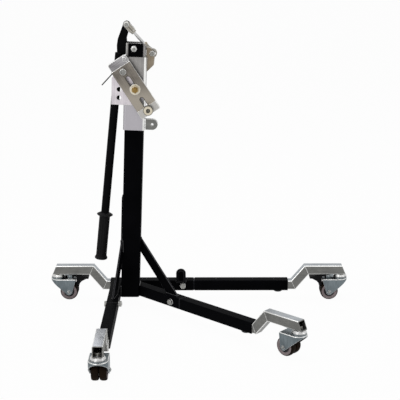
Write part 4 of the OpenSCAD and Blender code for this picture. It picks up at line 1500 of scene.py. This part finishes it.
@dataclass
class Caster(Assembly):
    """One cranked arm with its twin-wheel caster.

    Sizes are in millimetres.

    Attributes:
        leg: Leg that carries it.
        wheel_r: Radius of the wheels.
        wheel_in: Half the gap between the twin wheels.
        wheel_out: Middle of the caster to a wheel's outer face.
        rim_r: Inner radius of the tyres.
        bore_r: Radius of the hub's bore.
        trail: Stem to axle.
        arm_h: Half the arm's side.
        arm_in: Edges further in than this belong to the arm's inner end.
        arm_out: Edges further out than this belong to its outer end.
        corner: Rounding of the arm's corners.
        bends: Lower and upper end of each bend's seam: out from the stem, and up.
        seam_size: Radius and ripple length of the seams.
        axle_out: Middle of the caster to the axle's end.
        fork_top: Height of the fork's top face.
        fork_out: Middle of the caster to the fork's outer faces.
        nose_x: Middle of the fork's round nose.
        nose_r: Radius of the fork's round nose.
        fold_r: Rounding of the fold along the fork's top.
    """

    leg: Leg
    wheel_r: float = 24.0
    wheel_in: float = 1.0
    wheel_out: float = 18.0
    rim_r: float = 14.0
    bore_r: float = 4.05
    trail: float = 29.5
    arm_h: float = 12.0
    arm_in: float = -225.0
    arm_out: float = 3.5
    corner: float = 1.8
    bends: tuple[tuple[Span, Span], ...] = (
        ((-120.3, 27.6), (-131.7, 51.4)), ((-85.3, 70.1), (-96.7, 93.9)),
    )
    seam_size: Span = (0.7, 3.0)
    axle_out: float = 24.5
    fork_top: float = 59.0
    fork_out: float = 22.5
    nose_x: float = -3.82
    nose_r: float = 22.82
    fold_r: float = 1.5

    def own(self, piece: str) -> str:
        """Gives the full name of one of this caster's nodes, bodies or pieces."""
        return f"{self.leg.value}_{piece}"

    def axle(self) -> Matrix:
        """Gives the axle's frame, with its Z along the axle."""
        frame = self.rig.caster(self.leg)
        return frame @ Matrix.Translation((-self.trail * MM, 0.0, self.wheel_r * MM)) @ ALONG_Y

    def twins(self, name: str, profile: Profile, steps: int) -> Piece:
        """Turns a profile and its mirror image about the axle, and joins the two.

        Args:
            name: Name of the pair.
            profile: Radius and height of each corner of the half on the axle's positive side.
            steps: Faces round the axle.

        Returns:
            The pair.
        """
        halves = []
        for side in (-1, 1):
            half = [(r, side * h) for r, h in profile]
            halves.append(lathe("half", f"{name}_model_{side}", half, self.axle(), steps))
        return join(self.own(name), halves)

    def arm(self) -> None:
        """Finishes the bent square tube with its rolled corners and bend seams; its top, corners and seams
        take painted highlights, and the front arm's other faces painted shade.
        """
        obj = copy_node(self.own("arm"))
        front = self.leg is Leg.FRONT
        # Top faces take a lighter zinc, a painted highlight; the front arm's other faces take a matt grey,
        # painted shade; the rounded corners take CORNER, a painted highlight.
        paint(obj, ARM_SIDE if front else ARM, FRONT_ARM_TOP_HIGHLIGHT if front else ARM_TOP, CORNER)
        assign(obj, 1, lambda face: face.normal.z > 0.6)
        home = self.rig.caster(self.leg).inverted()

        def corner(first: Vector, second: Vector) -> bool:
            """Picks the tube's four outer corners, and not its ends.

            Args:
                first: The edge's one end, in metres.
                second: The other.

            Returns:
                True if it is one of these.
            """
            a, b = home @ first / MM, home @ second / MM
            outer = abs(a.y - b.y) < NEAR and abs(a.y) > self.arm_h - 2 * NEAR
            at_end = min(a.x, b.x) > self.arm_out or max(a.x, b.x) < self.arm_in
            return outer and not at_end

        bevel_where(obj, corner, self.corner, 3)
        smooth(obj)
        dress(obj, self.own("arm"), [self.own("arm")])
        frame, sides = self.rig.caster(self.leg), (-self.arm_h, self.arm_h)
        lines = [[(x, y, z) for x, z in bend] for bend in self.bends for y in sides]
        rows = [(*self.seam_size, frame, *line) for line in lines]
        # The bend seams take EDGE: a painted highlight.
        self.weld(self.own("bend_seams"), self.own("arm"), EDGE, rows)

    def swivel(self) -> None:
        """Finishes the stem and models the rolled ball race round it."""
        # The stem inside the arm takes DARK, painted shade, with DULL on its rounded edges.
        finish_nodes(self.own("arm"), (self.own("stem"), DARK, DULL, 0.8))
        bore, low, high = 5.2, 63.35, 69.9
        profile = [
            (bore, low), (16.6, low), (17.5, 63.9), (17.7, 64.7), (17.2, 65.6), (16.2, 66.4), (15.7, 66.9),
            (15.4, 67.7), (15.6, 68.4), (15.4, 69.1), (14.7, 69.7), (13.9, high), (bore, high), (bore, low),
        ]
        race = lathe(self.own("ball_race"), "race_model", profile, self.rig.caster(self.leg), 56)
        smooth(race, ROUND_DEG)
        coat(race, self.own("arm"), BRIGHT)

    def fork(self) -> None:
        """Finishes the pressed fork and adds the riveted axle ends."""
        body = self.own("caster")
        obj = copy_node(self.own("fork"))
        paint(obj, FORK, EDGE)
        home = self.rig.caster(self.leg).inverted()

        def fold(first: Vector, second: Vector) -> bool:
            """Picks the folded outer edge of the fork's top.

            Args:
                first: The edge's one end, in metres.
                second: The other.

            Returns:
                True if it is one of these.
            """
            a, b = home @ first / MM, home @ second / MM
            at_top = all(abs(e.z - self.fork_top) < NEAR for e in (a, b))
            side = a.y * b.y > 0 and min(abs(a.y), abs(b.y)) > self.fork_out - 2 * NEAR
            ahead = min(a.x, b.x) > -2 * NEAR
            radii = [math.hypot(e.x - self.nose_x, e.y) for e in (a, b)]
            nose = ahead and min(radii) > self.nose_r - 2 * NEAR
            return at_top and (side or nose)

        # The fold and the other rounded edges take EDGE: a painted highlight.
        bevel_where(obj, fold, self.fold_r, 3)
        round_edges(obj, 0.3)
        smooth(obj)
        dress(obj, body, [self.own("fork")])
        out = self.axle_out
        dome = [(0, out + 1.7), (1.6, out + 1.5), (2.9, out + 0.8), (3.4, out - 0.1), (0, out - 0.1)]
        rivets = self.twins("axle_rivets", dome, 24)
        smooth(rivets, ROUND_DEG)
        coat(rivets, body, DULL)

    def tyres(self) -> None:
        """Models the two rubber tyres: rounded shoulders and grey walls, with painted shade on the tread, the
        inner walls and the shoulders.
        """
        r, a, b, rim = self.wheel_r, self.wheel_in, self.wheel_out, self.rim_r
        middle = (a + b) / 2
        half = [(rim, b - 0.8), (rim + 0.6, b - 0.3), (rim + 2.5, b), (r - 3.4, b - 0.1), (r - 2.3, b - 0.6),
                (r - 1.3, b - 1.6), (r - 0.6, b - 3.0), (r - 0.2, b - 4.8), (r, middle + 1.2), (r, middle)]
        other = [(x, a + b - h) for x, h in reversed(half[:-1])]
        obj = self.twins("tyre_pair", half + other + half[:1], 64)
        paint(obj, WALL, TREAD)
        home = self.axle().inverted()

        def dark(face: Face) -> bool:
            """Picks all but the grey ring on a tyre's outer wall, for painted shade."""
            spot = home @ face.center / MM
            return abs(spot.z) < b - 1.0 or spot.xy.length > r - 3.0

        # All but the outer wall's grey ring takes TREAD: painted shade.
        assign(obj, 1, dark)
        smooth(obj, ROUND_DEG)
        dress(obj, self.own("wheel"), [self.own("tyres")])

    def hub(self) -> None:
        """Models the twin hub: rolled rims, sunk webs and a boss."""
        a, b, rim = self.wheel_in, self.wheel_out, self.rim_r - 0.02
        boss = 8.0
        half = [(self.bore_r, b), (boss - 0.4, b), (boss, b - 0.4), (boss + 0.2, b - 2.4), (boss + 1, b - 3),
                (rim - 3.4, b - 3), (rim - 2.6, b - 2.6), (rim - 2.4, b - 0.6), (rim - 2, b - 0.2),
                (rim - 0.4, b - 0.2), (rim, b - 0.6), (rim, a + 0.4), (rim - 0.4, a), (boss, a)]
        profile = half + [(x, -h) for x, h in reversed(half)] + half[:1]
        obj = lathe(self.own("twin_hub"), "hub_model", profile, self.axle(), 64)
        smooth(obj)
        coat(obj, self.own("wheel"), HUB, [self.own("hub")])

    def build(self) -> None:
        """Builds and dresses the arm and its caster."""
        self.arm()
        self.swivel()
        self.fork()
        self.tyres()
        self.hub()
        if self.leg in (Leg.REAR, Leg.LEFT):
            finish_nodes(self.own("brake"), (self.own("pedal"), PEDAL, PEDAL, 0.8))


def main() -> None:
    """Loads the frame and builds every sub-assembly in order."""
    logging.basicConfig(level=logging.INFO, format="%(name)s: %(message)s")
    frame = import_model()
    Studio().build()
    rig = Rig({joint["name"]: joint for joint in frame["joints"]})
    for assembly in (Stand(rig), Carriage(rig), Lever(rig), TieRod(rig), Adapter(rig)):
        assembly.build()
    for leg in Leg:
        Caster(rig, leg).build()


if __name__ == "__main__":
    main()
